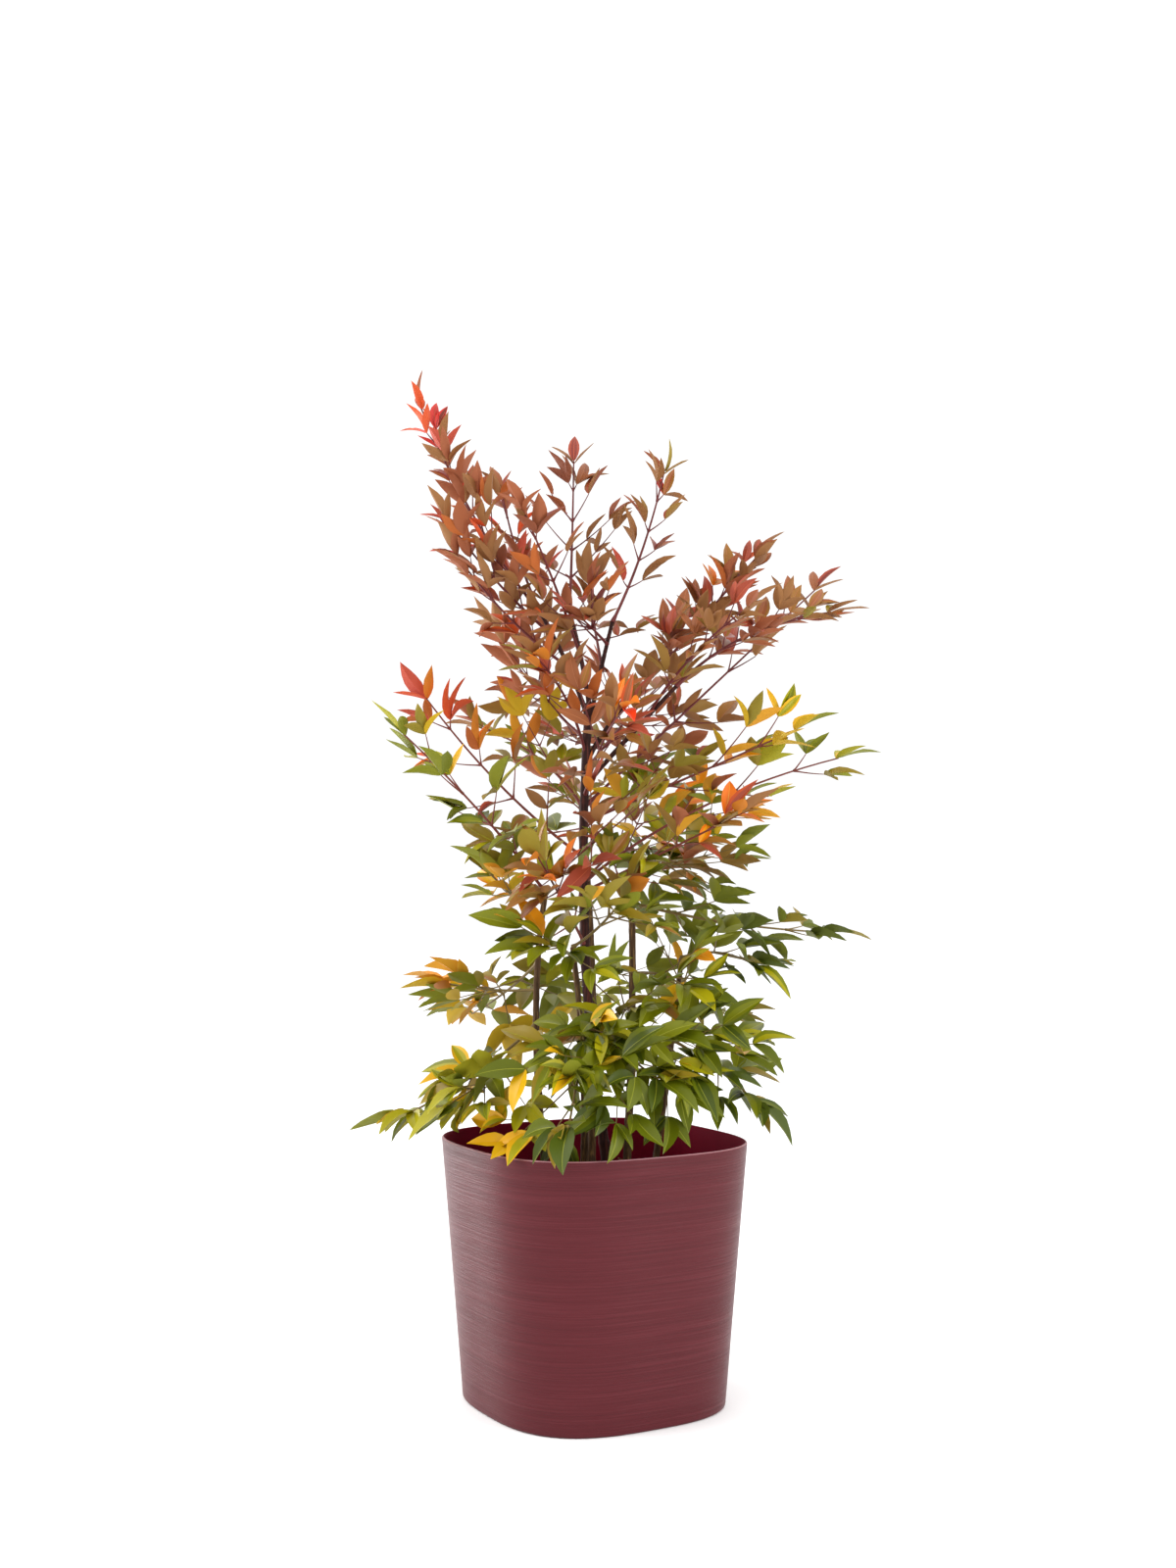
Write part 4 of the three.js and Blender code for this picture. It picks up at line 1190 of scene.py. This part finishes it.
def surround(tree, settings):
    """White surroundings: their strength runs from the front's to the back's as the direction's Y
    goes from -0.3 to 0.2, and what straight above adds comes in as its Z goes from 0.15 to 1."""
    place = add_node(tree, "TexCoord")["Generated"]
    axes = add_node(tree, "SeparateXYZ", {"Vector": place})
    strengths = []
    for axis, *limits in (
        ("Y", -0.3, 0.2, settings.before, settings.behind),
        ("Z", 0.15, 1.0, 0.0, settings.above),
    ):
        spread = dict(zip(("From Min", "From Max", "To Min", "To Max"), limits))
        strengths.append(add_node(tree, "MapRange", {"Value": axes[axis], **spread})["Result"])
    both = add_node(tree, "Math", dict(enumerate(strengths)))["Value"]
    feed(tree, tree.nodes["Background"], {"Color": (1, 1, 1, 1), "Strength": both})


def add_light(name, place, watts):
    """A square soft light that faces the plant's middle."""
    lamp = bpy.data.lights.new(name, "AREA")
    lamp.energy, lamp.size = watts, LIGHT_SIZE
    light = bpy.data.objects.new(name, lamp)
    light.location = place
    x, y, z = LIGHT_AIM - place
    pitch = math.acos(-z / np.linalg.norm((x, y, z)))
    light.rotation_euler = (pitch, 0, math.atan2(y, x) - math.pi / 2)
    return light


class STAGE_OT_build(bpy.types.Operator):
    """Lay the floor, hang the lights and place the camera"""

    bl_idname = "heavenly_bamboo.stage"
    bl_label = "Stage"

    def execute(self, context):
        settings, scene = context.scene.stage, context.scene
        scene.view_settings.view_transform = "Standard"
        world = bpy.data.worlds.new("white_surroundings")
        world.use_nodes = True
        surround(world.node_tree, settings)
        scene.world = world
        half = settings.floor_size / 2
        mesh = bpy.data.meshes.new("floor")
        corners = [(-half, -half, 0), (half, -half, 0), (half, half, 0), (-half, half, 0)]
        mesh.from_pydata(corners, [], [(0, 1, 2, 3)])
        floor = bpy.data.objects.new("floor", mesh)
        finish, tree, shader = new_finish("pale_floor", 0.8, 0.2)
        feed(tree, shader, {"Base Color": settings.floor_colour})
        mesh.materials.append(finish)
        scene.collection.objects.link(floor)
        for name, place in LIGHTS.items():
            light = add_light(f"{name}_light", place, getattr(settings, f"{name}_power"))
            scene.collection.objects.link(light)
        camera = bpy.data.objects.new("camera", bpy.data.cameras.new("camera"))
        camera.data.sensor_width, camera.data.lens = 36, settings.lens
        camera.location = settings.camera_place
        camera.rotation_euler = (math.pi / 2 + settings.camera_pitch, 0, 0)
        scene.collection.objects.link(camera)
        scene.camera = camera
        return {"FINISHED"}


# ---- Add-on ----


class PLANT_PT_panel(bpy.types.Panel):
    """Lists the parts that can be built and their settings"""

    bl_label = "Heavenly bamboo"
    bl_idname = "PLANT_PT_panel"
    bl_space_type = "VIEW_3D"
    bl_region_type = "UI"
    bl_category = "Heavenly bamboo"

    def draw(self, context):
        for operators, settings in (
            ((PLANTER_OT_build, SOIL_OT_build), context.scene.planter),
            ((CANES_OT_build, LEAVES_OT_build), context.scene.plant),
            ((STAGE_OT_build,), context.scene.stage),
        ):
            box = self.layout.box()
            for operator in operators:
                box.operator(operator.bl_idname)
            for name in settings.__annotations__:
                box.prop(settings, name)


GROUPS = {"planter": PlanterSettings, "plant": PlantSettings, "stage": StageSettings}
CLASSES = (
    *GROUPS.values(), PLANTER_OT_build, SOIL_OT_build, CANES_OT_build, LEAVES_OT_build, STAGE_OT_build,
    PLANT_PT_panel,
)


def register():
    for each in CLASSES:
        bpy.utils.register_class(each)
    for name, group in GROUPS.items():
        setattr(bpy.types.Scene, name, PointerProperty(type=group))


def unregister():
    for name in GROUPS:
        delattr(bpy.types.Scene, name)
    for each in reversed(CLASSES):
        bpy.utils.unregister_class(each)


def main():
    """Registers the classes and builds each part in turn."""
    register()
    steps = bpy.ops.heavenly_bamboo
    for step in (steps.stage, steps.planter, steps.soil, steps.canes, steps.leaves):
        step()


if __name__ == "__main__":
    main()
